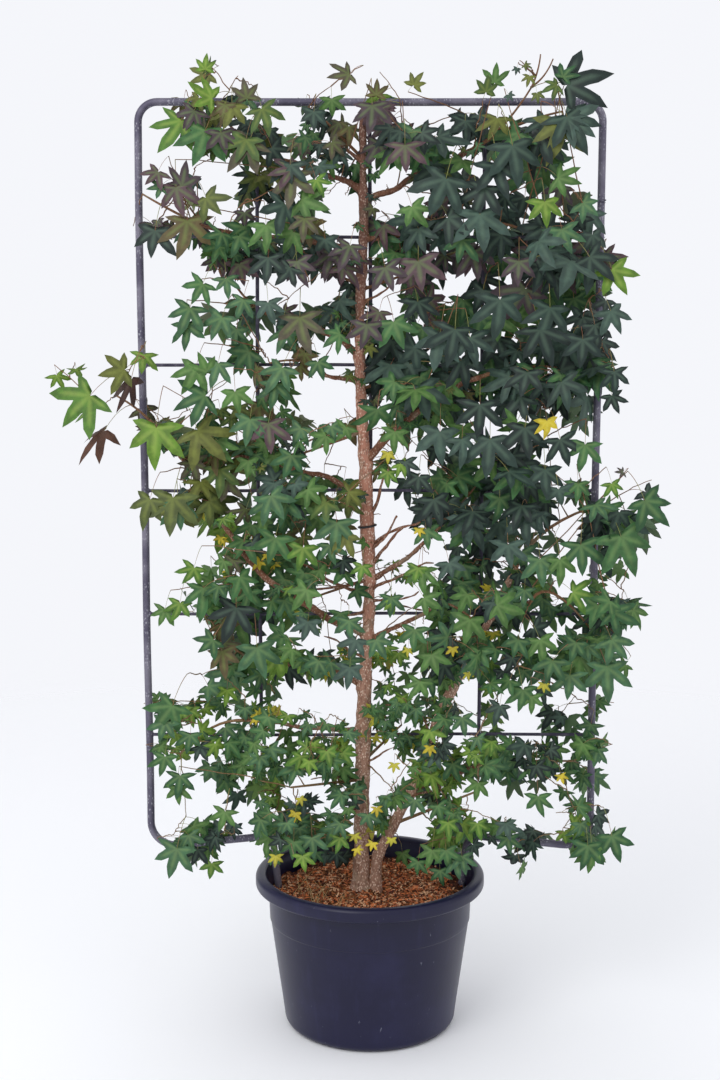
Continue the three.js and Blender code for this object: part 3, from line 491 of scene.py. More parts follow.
rod_finish = Finish("rod_steel", Metallic=0.3, Specular_IOR_Level=0.4)
rod_cloud = rod_finish.noise(40.0, 4.0)
rod_steel = rod_finish.blend(rod_cloud.between(0.4, 0.7), tint(62, 58, 76), tint(96, 92, 108))
rod_finish.put(Base_Color=rod_steel, Roughness=0.5 + 0.2 * rod_cloud)
rod_finish.rough_up(rod_finish.noise(300.0, 2.0), 0.0004, 0.5)
rod_end = HALF_WIDTH - TUBE_RADIUS + 0.002
for row, height in enumerate(ROD_HEIGHTS):
    rod_x = np.linspace(-rod_end, rod_end, 90)
    rod_path = xyz(rod_x, TRELLIS_Y, height)
    rod_path[:, 2] += ROD_SWAY * np.sin(rod_x * 7 + row) * (1 - (rod_x / rod_end) ** 2)
    rod = bar(f"trellis_rod_{row + 1}", rod_path, ROD_RADIUS, 12, rod_finish)
    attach(rod, "root")
    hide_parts(f"rod_level_{row + 1}")
for side, offset in UPRIGHTS.items():
    upright_z = np.linspace(UPRIGHT_END, TOP_BAR - 0.004, 150)
    upright_path = xyz(offset, UPRIGHT_Y, upright_z)
    upright_path[:, 0] += ROD_SWAY * np.sin(upright_z * 5 + offset * 9)
    upright = bar(f"trellis_upright_{side}", upright_path, UPRIGHT_RADIUS, 12, rod_finish)
    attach(upright, "root")
    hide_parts(f"rod_upright_{side}")


def beads(centres, lines, radii):
    """Small lumps of weld: each a closed pillow swept along a short line, fattest in its middle."""
    share = np.linspace(-1, 1, 7)
    paths = centres[:, None] + 0.5 * share[:, None] * lines[:, None]
    return tubes(paths, radii * np.sqrt(np.clip(1.02 - share ** 2, 0.02, 1)), 8)


# Each weld's place, the line that it runs along, and its radius.
weld_rows = []
for height in ROD_HEIGHTS:
    weld_rows += [(side * (rod_end - 0.001), TRELLIS_Y, height, 0, 0, 0.016, 0.0052) for side in (-1, 1)]
    weld_rows += [(x, TRELLIS_Y + 0.004, height, 0.014, 0, 0, 0.0042) for x in UPRIGHTS.values()]
weld_rows += [(x, TRELLIS_Y + 0.006, TOP_BAR - 0.008, 0.016, 0, 0, 0.005) for x in UPRIGHTS.values()]
weld_centres, weld_lines, weld_radii = np.split(np.array(weld_rows), [3, 6], axis=1)
welds = add_piece("trellis_welds", *beads(weld_centres, weld_lines, weld_radii), steel_finish)

# A thin wire is wound once round the right upright and sticks out a little.
UPWARD = np.array([0, 0, 1.0])
WIRE_PLACE = [HALF_WIDTH, TRELLIS_Y, 1.990]
wire_middle = tube_path[np.argmin(np.linalg.norm(tube_path - WIRE_PLACE, axis=1))]
wire_share = np.linspace(0, 1, 60)
wire_turn = np.radians(-20 - 430 * wire_share)
wire_reach = TUBE_RADIUS + 0.0008 + 0.012 * np.clip((wire_share - 0.84) / 0.16, 0, 1)
wire_path = wire_middle + xyz(wire_reach * np.cos(wire_turn), wire_reach * np.sin(wire_turn),
                              0.006 * wire_share)
wire = bar("wire_tie", wire_path, 0.0009, 6, rod_finish, UPWARD)
for steel_piece in (tube, welds, wire):
    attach(steel_piece, "root")


# ---------------------------------------------------------------- trunk and second stem
# The leader and a second stem that parts from it at the foot and leans to the right. Young smooth bark,
# pinkish brown, closely flecked with pale corky spots, swells round each bough and at the root collar.
TRUNK = np.array([
    # height, x, y, diameter
    [0.3180, -0.0210, -0.005, 0.068], [0.3320, -0.0210, -0.005, 0.056], [0.3480, -0.0210, -0.005, 0.048],
    [0.3720, -0.0210, -0.005, 0.0425], [0.430, -0.0210, -0.005, 0.039], [0.675, -0.0170, -0.005, 0.036],
    [0.848, -0.0130, -0.005, 0.033], [0.988, -0.0040, -0.005, 0.029], [1.110, -0.0020, -0.005, 0.029],
    [1.239, -0.0070, -0.005, 0.034], [1.330, -0.0100, -0.005, 0.030], [1.459, -0.0175, -0.005, 0.028],
    [1.592, -0.0230, -0.005, 0.025], [1.753, -0.0240, -0.005, 0.0225], [1.939, -0.0160, -0.005, 0.021],
    [2.101, -0.0180, -0.005, 0.0155], [2.196, -0.0185, -0.005, 0.012],
])
SECOND_STEM = np.array([
    [0.3180, 0.0110, -0.016, 0.050], [0.3320, 0.0125, -0.016, 0.039], [0.3520, 0.0140, -0.016, 0.031],
    [0.418, 0.020, -0.016, 0.027], [0.489, 0.054, -0.017, 0.026], [0.638, 0.122, -0.020, 0.025],
    [0.780, 0.171, -0.022, 0.022], [0.909, 0.238, -0.022, 0.020], [1.015, 0.290, -0.022, 0.018],
    [1.142, 0.351, -0.025, 0.013],
])
# Boughs: parent, where each leaves it, its tip, its climb in degrees at both ends, and its diameters.
BOUGHS = {
    "bough_left_1": ("trunk", 2.017, (-0.188, -0.030, 2.083), (36, 20), (0.014, 0.010)),
    "bough_left_2": ("trunk", 1.858, (-0.423, -0.040, 1.952), (34, 26), (0.014, 0.008)),
    "bough_left_3": ("trunk", 1.632, (-0.223, 0.052, 1.727), (46, 16), (0.016, 0.010)),
    "bough_left_4": ("trunk", 1.575, (-0.115, -0.042, 1.601), (8, 30), (0.012, 0.009)),
    "bough_left_5": ("trunk", 1.297, (-0.298, -0.048, 1.402), (32, 12), (0.013, 0.009)),
    "bough_left_6": ("trunk", 0.966, (-0.275, -0.042, 1.140), (30, 52), (0.019, 0.013)),
    "bough_left_6_upper": ("bough_left_6", None, (-0.521, -0.034, 1.487), (66, 44), (0.013, 0.007)),
    "bough_left_7": ("trunk", 0.835, (-0.259, 0.046, 0.893), (36, 3), (0.012, 0.009)),
    "bough_left_8": ("trunk", 0.731, (-0.301, -0.046, 0.766), (2, 8), (0.012, 0.008)),
    "bough_right_1": ("trunk", 1.991, (0.257, -0.032, 2.122), (26, 30), (0.014, 0.011)),
    "bough_right_2": ("trunk", 1.909, (0.257, -0.042, 1.940), (7, 7), (0.012, 0.008)),
    "bough_right_3": ("trunk", 1.376, (0.257, -0.050, 1.588), (58, 24), (0.020, 0.012)),
    "bough_right_4": ("trunk", 1.101, (0.128, -0.036, 1.196), (26, 48), (0.013, 0.009)),
    "bough_right_5": ("trunk", 0.951, (0.147, -0.062, 1.044), (32, 34), (0.012, 0.009)),
    "second_stem_bough_1": ("second_stem", 1.015, (0.383, -0.058, 1.062), (30, 24), (0.012, 0.009)),
    "second_stem_bough_2": ("second_stem", 0.577, (0.346, 0.034, 0.642), (28, 8), (0.012, 0.008)),
}


def along_stations(stations, heights):
    """Place and diameter at each height, by cubic pieces that take their slopes from both neighbours."""
    z = stations[:, 0]
    slope = np.gradient(stations[:, 1:], z, axis=0)
    i = np.clip(np.searchsorted(z, heights) - 1, 0, len(z) - 2)
    span = (z[i + 1] - z[i])[:, None]
    t = (heights - z[i])[:, None] / span
    return (
        (2 * t ** 3 - 3 * t ** 2 + 1) * stations[i, 1:]
        + (t ** 3 - 2 * t ** 2 + t) * span * slope[i]
        + (3 * t ** 2 - 2 * t ** 3) * stations[i + 1, 1:]
        + (t ** 3 - t ** 2) * span * slope[i + 1]
    )


def axis_at(stations, height):
    """The stem's axis at a height, on straight lines between stations."""
    return np.array([np.interp(height, stations[:, 0], stations[:, 1]),
                     np.interp(height, stations[:, 0], stations[:, 2]), height])


def climbing(start, end, degrees):
    """The direction that points from one place to another in plan, and climbs at an angle."""
    plan = unit((end - start)[:2])
    angle = math.radians(degrees)
    return np.array([*(plan * math.cos(angle)), math.sin(angle)])


def bough_path(parent_name, at, tip, climb, rings):
    """A cubic Bezier curve that leaves its parent and meets its tip at the two climbs."""
    end = np.array(tip)
    if at is None:
        parent_path = limb_paths[parent_name]
        start = parent_path[-1]
        leave = unit(parent_path[-1] - parent_path[-2])
    else:
        start = axis_at(STEMS[parent_name], at)
        leave = climbing(start, end, climb[0])
    handle = np.linalg.norm(end - start) / 3
    t = np.linspace(0, 1, rings)[:, None]
    return (
        (1 - t) ** 3 * start
        + 3 * (1 - t) ** 2 * t * (start + leave * handle)
        + 3 * (1 - t) * t ** 2 * (end - climbing(start, end, climb[1]) * handle)
        + t ** 3 * end
    )


STEMS = {"trunk": TRUNK, "second_stem": SECOND_STEM}
limb_paths = {}
for name, (parent, at, tip, climb, _) in BOUGHS.items():
    limb_paths[name] = bough_path(parent, at, tip, climb, 48)


def bark_finish(name, old, young, fleck_share, painted_top_shade):
    """Bark: a darker and a lighter tint low on the plant and higher up, with flecks, patches and furrows.

    Near the top of the plant painted shade darkens it by a share, and the flecks grow faint there.
    """
    finish = Finish(name, Specular_IOR_Level=0.25)
    height = finish.height()
    cloud = finish.noise(26.0, 4.0)
    flecks = 1 - finish.cells(230.0, (1, 1, 0.7)).between(0.24, 0.50)
    flecks = flecks * finish.noise(70.0, 3.0).between(0.36, 0.54)
    furrows = finish.noise(190.0, 4.0, 0.6, finish.stretched((1, 1, 0.25)))
    lichen = finish.noise(16.0, 3.0).between(0.56, 0.66)
    bark = finish.blend(height.between(0.6, 1.3), finish.blend(cloud, *old), finish.blend(cloud, *young))
    bark = finish.blend(furrows.between(0.50, 0.64) * 0.5, bark, tint(90, 58, 46))
    bark = finish.blend(lichen * 0.35, bark, tint(146, 142, 122))
    # painted shade: high on the plant the bark darkens towards a deep brown and its flecks grow dim
    high_shade_mask = height.between(1.50, 1.95)
    bark = finish.blend(high_shade_mask * painted_top_shade, bark, tint(70, 50, 44))
    bark = finish.blend(flecks * (1 - 0.6 * high_shade_mask) * fleck_share, bark, tint(232, 206, 186))
    finish.put(Base_Color=bark, Roughness=0.75 + 0.2 * cloud)
    finish.rough_up(furrows * 0.6 + flecks * 0.4, 0.0014, 0.8)
    return finish


stem_bark = bark_finish("stem_bark", (tint(138, 102, 84), tint(190, 150, 128)),
                        (tint(158, 104, 84), tint(210, 154, 132)), 0.92, 0.7)
bough_bark = bark_finish("bough_bark", (tint(96, 66, 50), tint(140, 102, 78)),
                         (tint(102, 66, 50), tint(150, 104, 80)), 0.35, 0.25)
twig_bark = bark_finish("twig_bark", (tint(112, 90, 58), tint(138, 108, 74)),
                        (tint(110, 78, 56), tint(140, 102, 72)), 0.15, 0.1)


def stem_piece(stations, rings, sides, seed):
    """A stem swept through its stations, with bark relief, a root flare and a collar at each bough."""
    heights = np.linspace(stations[0, 0], stations[-1, 0], rings)
    found = along_stations(stations, heights)
    path = np.c_[found[:, :2], heights]
    turn = full_turn(sides)
    radii = np.repeat(found[:, 2:] / 2, sides, axis=1)
    around = xyz(path[:, None, 0] + radii * np.cos(turn), path[:, None, 1] + radii * np.sin(turn),
                 heights[:, None])
    relief = 0.0004 * ripple(around * [1, 1, 0.22], 0.008, seed, 60)
    relief += 0.0003 * ripple(around * [0.2, 0.2, 1], 0.011, seed + 1, 60)
    relief += 0.0009 * ripple(around * [0.3, 0.3, 1], 0.08, seed + 2)
    for parent, at, tip, _, width in BOUGHS.values():
        if at is None or STEMS[parent] is not stations:
            continue
        facing = math.atan2(tip[1] - path[0, 1], tip[0] - axis_at(stations, at)[0])
        # turns are counted from +Y towards -X by the bar's own first side
        spread = np.angle(np.exp(1j * (turn_of_sides(sides) - facing)))
        lump = np.exp(-((heights[:, None] - at - 0.002) / 0.013) ** 2) * np.exp(-(spread / 0.9) ** 2)
        relief += 0.35 * width[0] * lump
    return tubes(path[None], (radii + relief)[None], sides)


def turn_of_sides(sides):
    """The compass direction of each side of an upright bar: the first faces +Y, and the next turn to -X."""
    return math.pi / 2 + full_turn(sides)


trunk = add_piece("trunk_bark", *stem_piece(TRUNK, 620, 40, 31), stem_bark)
second_stem = add_piece("second_stem_bark", *stem_piece(SECOND_STEM, 300, 32, 41), stem_bark)
for stem_name, stem_object in (("trunk", trunk), ("second_stem", second_stem)):
    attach(stem_object, "root")
    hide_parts(stem_name)


# ---------------------------------------------------------------- boughs
# The trained limbs, each one living shoot that leaves the stem in a swollen collar and bends to follow the
# trellis, with a slight kink and a ring at every old bud.
BUD_STEP = 0.034


def lengths_along(path):
    """How far each place of a path lies from its start, measured along it."""
    return np.r_[0, np.cumsum(np.linalg.norm(np.diff(path, axis=0), axis=1))]


def limb_shape(path, start_width, end_width, collar, seed, sides):
    """A tapering limb: a little off its line, swollen at its collar and each old bud, with fine relief."""
    length = lengths_along(path)
    share = length / length[-1]
    sway = xyz(*[ripple(path, 0.11, seed + k) for k in range(3)])
    free_start = np.clip(length / 0.03, 0, 1)[:, None]
    free_end = np.clip((1 - share) / 0.1, 0, 1)[:, None]
    path = path + 0.0022 * sway * free_start * free_end
    radius = (start_width + (end_width - start_width) * share) / 2
    buds = np.abs(np.sin(math.pi * length / BUD_STEP + seed)) ** 10
    radius = radius * (1 + 0.10 * buds + collar * np.exp(-length / 0.016))
    turn = full_turn(sides)
    unrolled = xyz(length[:, None] * 0.4, np.cos(turn) * radius[:, None], np.sin(turn) * radius[:, None])
    return path, radius[:, None] + 0.0005 * ripple(unrolled, 0.010, seed + 5)


def arch(start, middle, end, t):
    """A curve from start to end that leans towards a middle place: a quadratic Bezier curve at shares t."""
    return (1 - t) ** 2 * start + 2 * (1 - t) * t * middle + t ** 2 * end


for index, (name, (parent, at, tip, climb, width)) in enumerate(BOUGHS.items()):
    rings = 40 + int(260 * np.linalg.norm(np.array(tip) - limb_paths[name][0]))
    path = bough_path(parent, at, tip, climb, rings)
    path, radii = limb_shape(path, *width, 0.0 if at is None else 0.45, 50 + 7 * index, 16)
    limb_paths[name] = path
    bough = add_piece(name + "_bark", *tubes(path[None], radii[None], 16), bough_bark)
    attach(bough, "root")
    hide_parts(name)

# Short spurs and side shoots that stay bare along the stems: stem, height on it, end and width at the foot.
SPURS = [
    ("trunk", 2.085, (-0.135, -0.030, 2.128), 0.009), ("trunk", 1.246, (0.043, -0.030, 1.371), 0.009),
    ("trunk", 1.458, (-0.167, -0.050, 1.424), 0.008), ("trunk", 1.105, (-0.157, -0.045, 1.085), 0.008),
    ("trunk", 1.180, (0.118, -0.070, 1.250), 0.008), ("trunk", 1.052, (0.115, -0.060, 1.082), 0.007),
    ("trunk", 1.036, (0.128, 0.040, 1.020), 0.006), ("trunk", 1.030, (-0.090, -0.060, 1.030), 0.007),
    ("trunk", 1.600, (0.036, -0.035, 1.618), 0.009), ("trunk", 1.520, (0.046, -0.040, 1.560), 0.006),
    ("trunk", 0.608, (-0.144, -0.040, 0.618), 0.006), ("trunk", 0.540, (-0.060, -0.040, 0.545), 0.007),
    ("trunk", 0.905, (-0.110, -0.050, 0.972), 0.007), ("trunk", 0.652, (0.060, -0.040, 0.700), 0.006),
    ("second_stem", 0.560, (0.165, -0.060, 0.600), 0.007),
    ("second_stem", 0.720, (0.115, -0.060, 0.800), 0.006),
    ("second_stem", 0.860, (0.280, 0.030, 0.880), 0.006),
    ("second_stem", 0.930, (0.215, -0.060, 1.010), 0.006), ("trunk", 0.760, (0.050, -0.035, 0.800), 0.006),
    ("trunk", 1.760, (0.045, -0.035, 1.800), 0.007), ("trunk", 1.128, (0.092, -0.050, 1.238), 0.009),
    ("trunk", 1.168, (0.062, -0.060, 1.262), 0.008), ("trunk", 1.070, (0.150, -0.055, 1.150), 0.008),
    ("trunk", 1.072, (-0.170, -0.060, 1.150), 0.009),
]
spur_paths, spur_radii = [], []
for index, (parent, at, end, width) in enumerate(SPURS):
    start = axis_at(STEMS[parent], at)
    end = np.array(end)
    middle = (start + end) / 2 + [0, 0, 0.12 * np.linalg.norm(end - start) * (-1) ** index]
    path = arch(start, middle, end, np.linspace(0, 1, 30)[:, None])
    path, radii = limb_shape(path, width, 0.5 * width, 0.5, 400 + 9 * index, 10)
    spur_paths.append(path)
    spur_radii.append(radii)
spurs = add_piece("spurs", *tubes(np.array(spur_paths), np.array(spur_radii), 10), bough_bark)
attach(spurs, "root")

# A black rubber band ties the trunk to the middle upright.
BAND_HEIGHT = 1.232
BAND_RADIUS = 0.0205
band_turn = np.linspace(0, 2 * math.pi, 49)
band_axis = axis_at(TRUNK, BAND_HEIGHT)
band_x = band_axis[0] + BAND_RADIUS * np.cos(band_turn)
band_y = band_axis[1] + BAND_RADIUS * np.sin(band_turn)
band_path = xyz(band_x, band_y, BAND_HEIGHT + 0.003 * np.cos(band_turn))
band_finish = two_tone("tie_rubber", 120.0, 3.0, None, tint(28, 28, 30), tint(52, 52, 54), Roughness=0.6)
band = bar("trunk_tie", band_path, 0.0026, 8, band_finish, UPWARD)
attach(band, "root")


# ---------------------------------------------------------------- twigs, stalks and leaves
# The year's growth. From each bough's tip or the trunk's side a stem enters its mass of foliage and
# branches again and again. Every shoot carries a few leaves on long stalks, set round it in a spiral, and
# they hang tip down. A leaf is a thin star of five lobes, and short spurs on the old wood bear tiny ones.
MASSES = {
    # limb, height on it, x, y and z limits of the space, head of the stem, length of a middle lobe,
    # leaf cover, and the tints with their shares
    "top_left": ("bough_left_1", None, (-0.470, -0.190), (-0.18, 0.19), (1.990, 2.310),
                 (-0.352, -0.040, 2.195), 0.054, 1.0, {"olive": 3, "mid": 3, "dark": 2, "bronze": 4}),
    "top_inner_left": ("trunk", 2.092, (-0.187, -0.030), (-0.15, 0.16), (1.990, 2.290),
                       (-0.120, 0.050, 2.200), 0.046, 1.2, {"mid": 3, "bronze": 2, "dark": 2, "purple": 2}),
    "upper_far_left": ("bough_left_2", None, (-0.590, -0.425), (-0.14, 0.15), (1.800, 2.080),
                       (-0.530, -0.020, 2.010), 0.052, 0.7,
                       {"purple": 3, "bronze": 2, "mid": 2, "dark": 2}),
    "upper_left": ("bough_left_3", None, (-0.460, -0.225), (-0.19, 0.205), (1.690, 1.988),
                   (-0.345, 0.070, 1.840), 0.060, 1.3, {"dark": 3, "mid": 4, "purple": 1}),
    "upper_inner_left": ("trunk", 1.800, (-0.222, -0.036), (-0.19, 0.205), (1.690, 1.988),
                         (-0.150, 0.070, 1.860), 0.062, 1.7,
                         {"dark": 4, "purple": 2, "mid": 3, "bronze": 1}),
    "shoulder_left": ("bough_left_4", None, (-0.330, -0.040), (-0.19, 0.20), (1.522, 1.687),
                      (-0.235, -0.060, 1.620), 0.060, 1.3, {"mid": 4, "dark": 3, "bronze": 1}),
    "far_left": ("bough_left_6_upper", None, (-0.750, -0.523), (-0.12, 0.13), (1.400, 1.670),
                 (-0.600, -0.030, 1.545), 0.056, 0.07, {"fresh": 4, "mid": 3}),
    "middle_left": ("bough_left_5", None, (-0.540, -0.300), (-0.19, 0.205), (1.188, 1.519),
                    (-0.420, -0.060, 1.370), 0.062, 1.0, {"olive": 4, "fresh": 3, "mid": 4, "bronze": 1}),
    "middle_inner_left": ("trunk", 1.458, (-0.297, -0.040), (-0.20, 0.215), (1.188, 1.519),
                          (-0.190, -0.090, 1.400), 0.058, 1.6,
                          {"mid": 5, "dark": 2, "bronze": 1, "olive": 1}),
    "lower_left": ("bough_left_7", None, (-0.480, -0.262), (-0.19, 0.21), (0.822, 1.185),
                   (-0.390, 0.060, 0.990), 0.060, 1.5, {"dark": 3, "mid": 6, "bronze": 1}),
    "lower_inner_left": ("trunk", 1.105, (-0.259, -0.036), (-0.20, 0.215), (0.822, 1.185),
                         (-0.150, 0.090, 1.040), 0.054, 1.5, {"dark": 2, "mid": 6, "fresh": 1}),
    "base_left": ("bough_left_8", None, (-0.580, -0.303), (-0.18, 0.20), (0.370, 0.819),
                  (-0.460, -0.040, 0.680), 0.046, 1.0, {"mid": 7, "fresh": 2, "dark": 2}),
    "base_inner_left": ("trunk", 0.608, (-0.300, -0.044), (-0.21, 0.21), (0.400, 0.819),
                        (-0.190, -0.080, 0.610), 0.042, 1.35, {"mid": 7, "fresh": 3, "dark": 1}),
    "top_right": ("bough_right_1", None, (0.260, 0.620), (-0.20, 0.205), (1.990, 2.325),
                  (0.440, -0.030, 2.195), 0.080, 1.25, {"dark": 8, "olive": 2, "mid": 2, "purple": 1}),
    "top_inner_right": ("trunk", 2.110, (0.000, 0.257), (-0.16, 0.17), (1.990, 2.310),
                        (0.140, 0.060, 2.180), 0.066, 1.35, {"dark": 4, "mid": 3, "purple": 1, "fresh": 1}),
    "upper_inner_right": ("trunk", 1.790, (0.004, 0.257), (-0.19, 0.205), (1.700, 1.987),
                          (0.140, 0.080, 1.850), 0.072, 1.6, {"dark": 5, "purple": 2, "mid": 3}),
    "upper_right": ("bough_right_2", None, (0.260, 0.600), (-0.20, 0.215), (1.744, 1.987),
                    (0.440, -0.020, 1.870), 0.080, 2.1, {"dark": 9, "mid": 2, "purple": 1}),
    "middle_inner_right": ("trunk", 1.560, (0.002, 0.257), (-0.19, 0.205), (1.462, 1.697),
                           (0.140, 0.070, 1.600), 0.070, 2.2, {"dark": 7, "mid": 3}),
    "middle_upper_right": ("bough_right_3", None, (0.260, 0.600), (-0.20, 0.215), (1.462, 1.741),
                           (0.440, -0.020, 1.610), 0.076, 2.3, {"dark": 8, "mid": 3}),
    "centre_right": ("bough_right_4", None, (0.060, 0.400), (-0.19, 0.205), (1.160, 1.459),
                     (0.250, -0.030, 1.330), 0.070, 2.0, {"dark": 6, "mid": 4}),
    "far_right": ("second_stem", None, (0.403, 0.715), (-0.18, 0.195), (1.144, 1.459),
                  (0.560, -0.030, 1.290), 0.066, 1.2, {"dark": 5, "mid": 5}),
    "lower_inner_right": ("bough_right_5", None, (0.120, 0.380), (-0.20, 0.21), (0.834, 1.157),
                          (0.255, -0.110, 1.010), 0.056, 1.8, {"dark": 3, "mid": 6}),
    "lower_right": ("second_stem_bough_1", None, (0.3832, 0.640), (-0.19, 0.20), (0.834, 1.141),
                    (0.530, -0.040, 0.985), 0.056, 1.4, {"dark": 3, "mid": 7}),
    "stem_right": ("trunk", 0.652, (0.008, 0.118), (-0.19, 0.195), (0.400, 0.955),
                   (0.080, 0.095, 0.720), 0.036, 0.9, {"mid": 7, "yellow": 1, "fresh": 3}),
    "base_inner_right": ("second_stem", 0.500, (0.121, 0.345), (-0.205, 0.205), (0.400, 0.831),
                         (0.255, -0.080, 0.600), 0.044, 1.45, {"mid": 8, "dark": 1, "fresh": 2}),
    "base_right": ("second_stem_bough_2", None, (0.348, 0.640), (-0.18, 0.195), (0.370, 0.831),
                   (0.500, 0.010, 0.650), 0.048, 1.0, {"mid": 8, "dark": 2, "fresh": 1}),
}
CROWN_LOW = np.array([-0.758, -0.225, 0.345])
CROWN_HIGH = np.array([0.722, 0.235, 2.338])
TWIGS_TOP = CROWN_HIGH[2] - 0.026
# Sky seen between the leaves, as the eye sees it in the trellis's plane: the left, right, lower and upper
# limit of each window in millimetres.
SKY = np.array([
    # above the top bar
    (-513, -447, 2233, 2341), (-355, -312, 2235, 2341), (-276, -112, 2235, 2341), (22, 69, 2235, 2341),
    (132, 222, 2235, 2341),
    # the left half, from the top bar down
    (-530, -470, 2080, 2215), (-400, -324, 1980, 2080), (-107, -48, 1915, 2040), (-273, -72, 1768, 1817),
    (-528, -453, 1639, 1889), (-391, -296, 1768, 1808), (-255, -190, 1590, 1650), (-118, -60, 1610, 1660),
    (-163, -43, 1489, 1580), (-347, -296, 1513, 1599), (-526, -458, 1513, 1608), (-149, -43, 1346, 1418),
    (-529, -461, 1329, 1384), (-532, -374, 1147, 1208), (-534, -464, 820, 1147), (-464, -396, 826, 1005),
    (-126, -49, 1019, 1090), (-170, -85, 925, 970), (-201, -59, 771, 841), (-192, -103, 575, 610),
    (-544, -468, 460, 575), (-468, -380, 510, 590), (-368, -267, 306, 432), (-700, -529, 826, 1395),
    (-560, -440, 605, 650), (-620, -505, 340, 450), (-640, -548, 1700, 2240), (-548, -470, 1985, 2030),
    (-462, -418, 2060, 2125), (-680, -550, 550, 800),
    # the right half, from the top bar down
    (555, 760, 1908, 2201), (485, 526, 2041, 2178), (57, 181, 2178, 2215), (535, 760, 2190, 2350),
    (215, 440, 2212, 2350), (448, 500, 1215, 1270), (18, 55, 1945, 2087), (60, 126, 2000, 2039),
    (184, 236, 1773, 1824), (4, 51, 1740, 1808), (625, 760, 1532, 1931), (427, 521, 1346, 1446),
    (557, 760, 1332, 1544), (461, 527, 1056, 1147), (572, 760, 1054, 1093), (60, 115, 1336, 1432),
    (19, 91, 1147, 1297), (92, 169, 1132, 1200), (102, 141, 1019, 1068), (93, 141, 950, 1000),
    (5, 54, 562, 688), (223, 333, 519, 585), (62, 144, 440, 536), (411, 501, 306, 432),
    (279, 322, 306, 432), (590, 760, 549, 801), (221, 264, 701, 851), (345, 400, 730, 826),
    (640, 760, 801, 975), (455, 520, 765, 815), (585, 760, 1560, 1780), (600, 760, 1780, 1931),
    (655, 760, 1085, 1190), (620, 760, 340, 560), (575, 760, 300, 400),
    # along the crown's edge and between single leaves
    (-790, -655, 1612, 1740), (-790, -712, 1360, 1497), (-655, -570, 1425, 1545), (-60, 20, 2255, 2345),
    (450, 760, 2262, 2345), (-520, -420, 2262, 2345), (-112, -62, 2235, 2262), (-226, -179, 2162, 2207),
    (-385, -315, 1945, 1975), (-524, -445, 1955, 1985), (-475, -405, 1815, 1880), (-760, -540, 430, 560),
    (418, 492, 475, 520), (490, 560, 2010, 2100), (575, 640, 1290, 1335),
]) / 1000
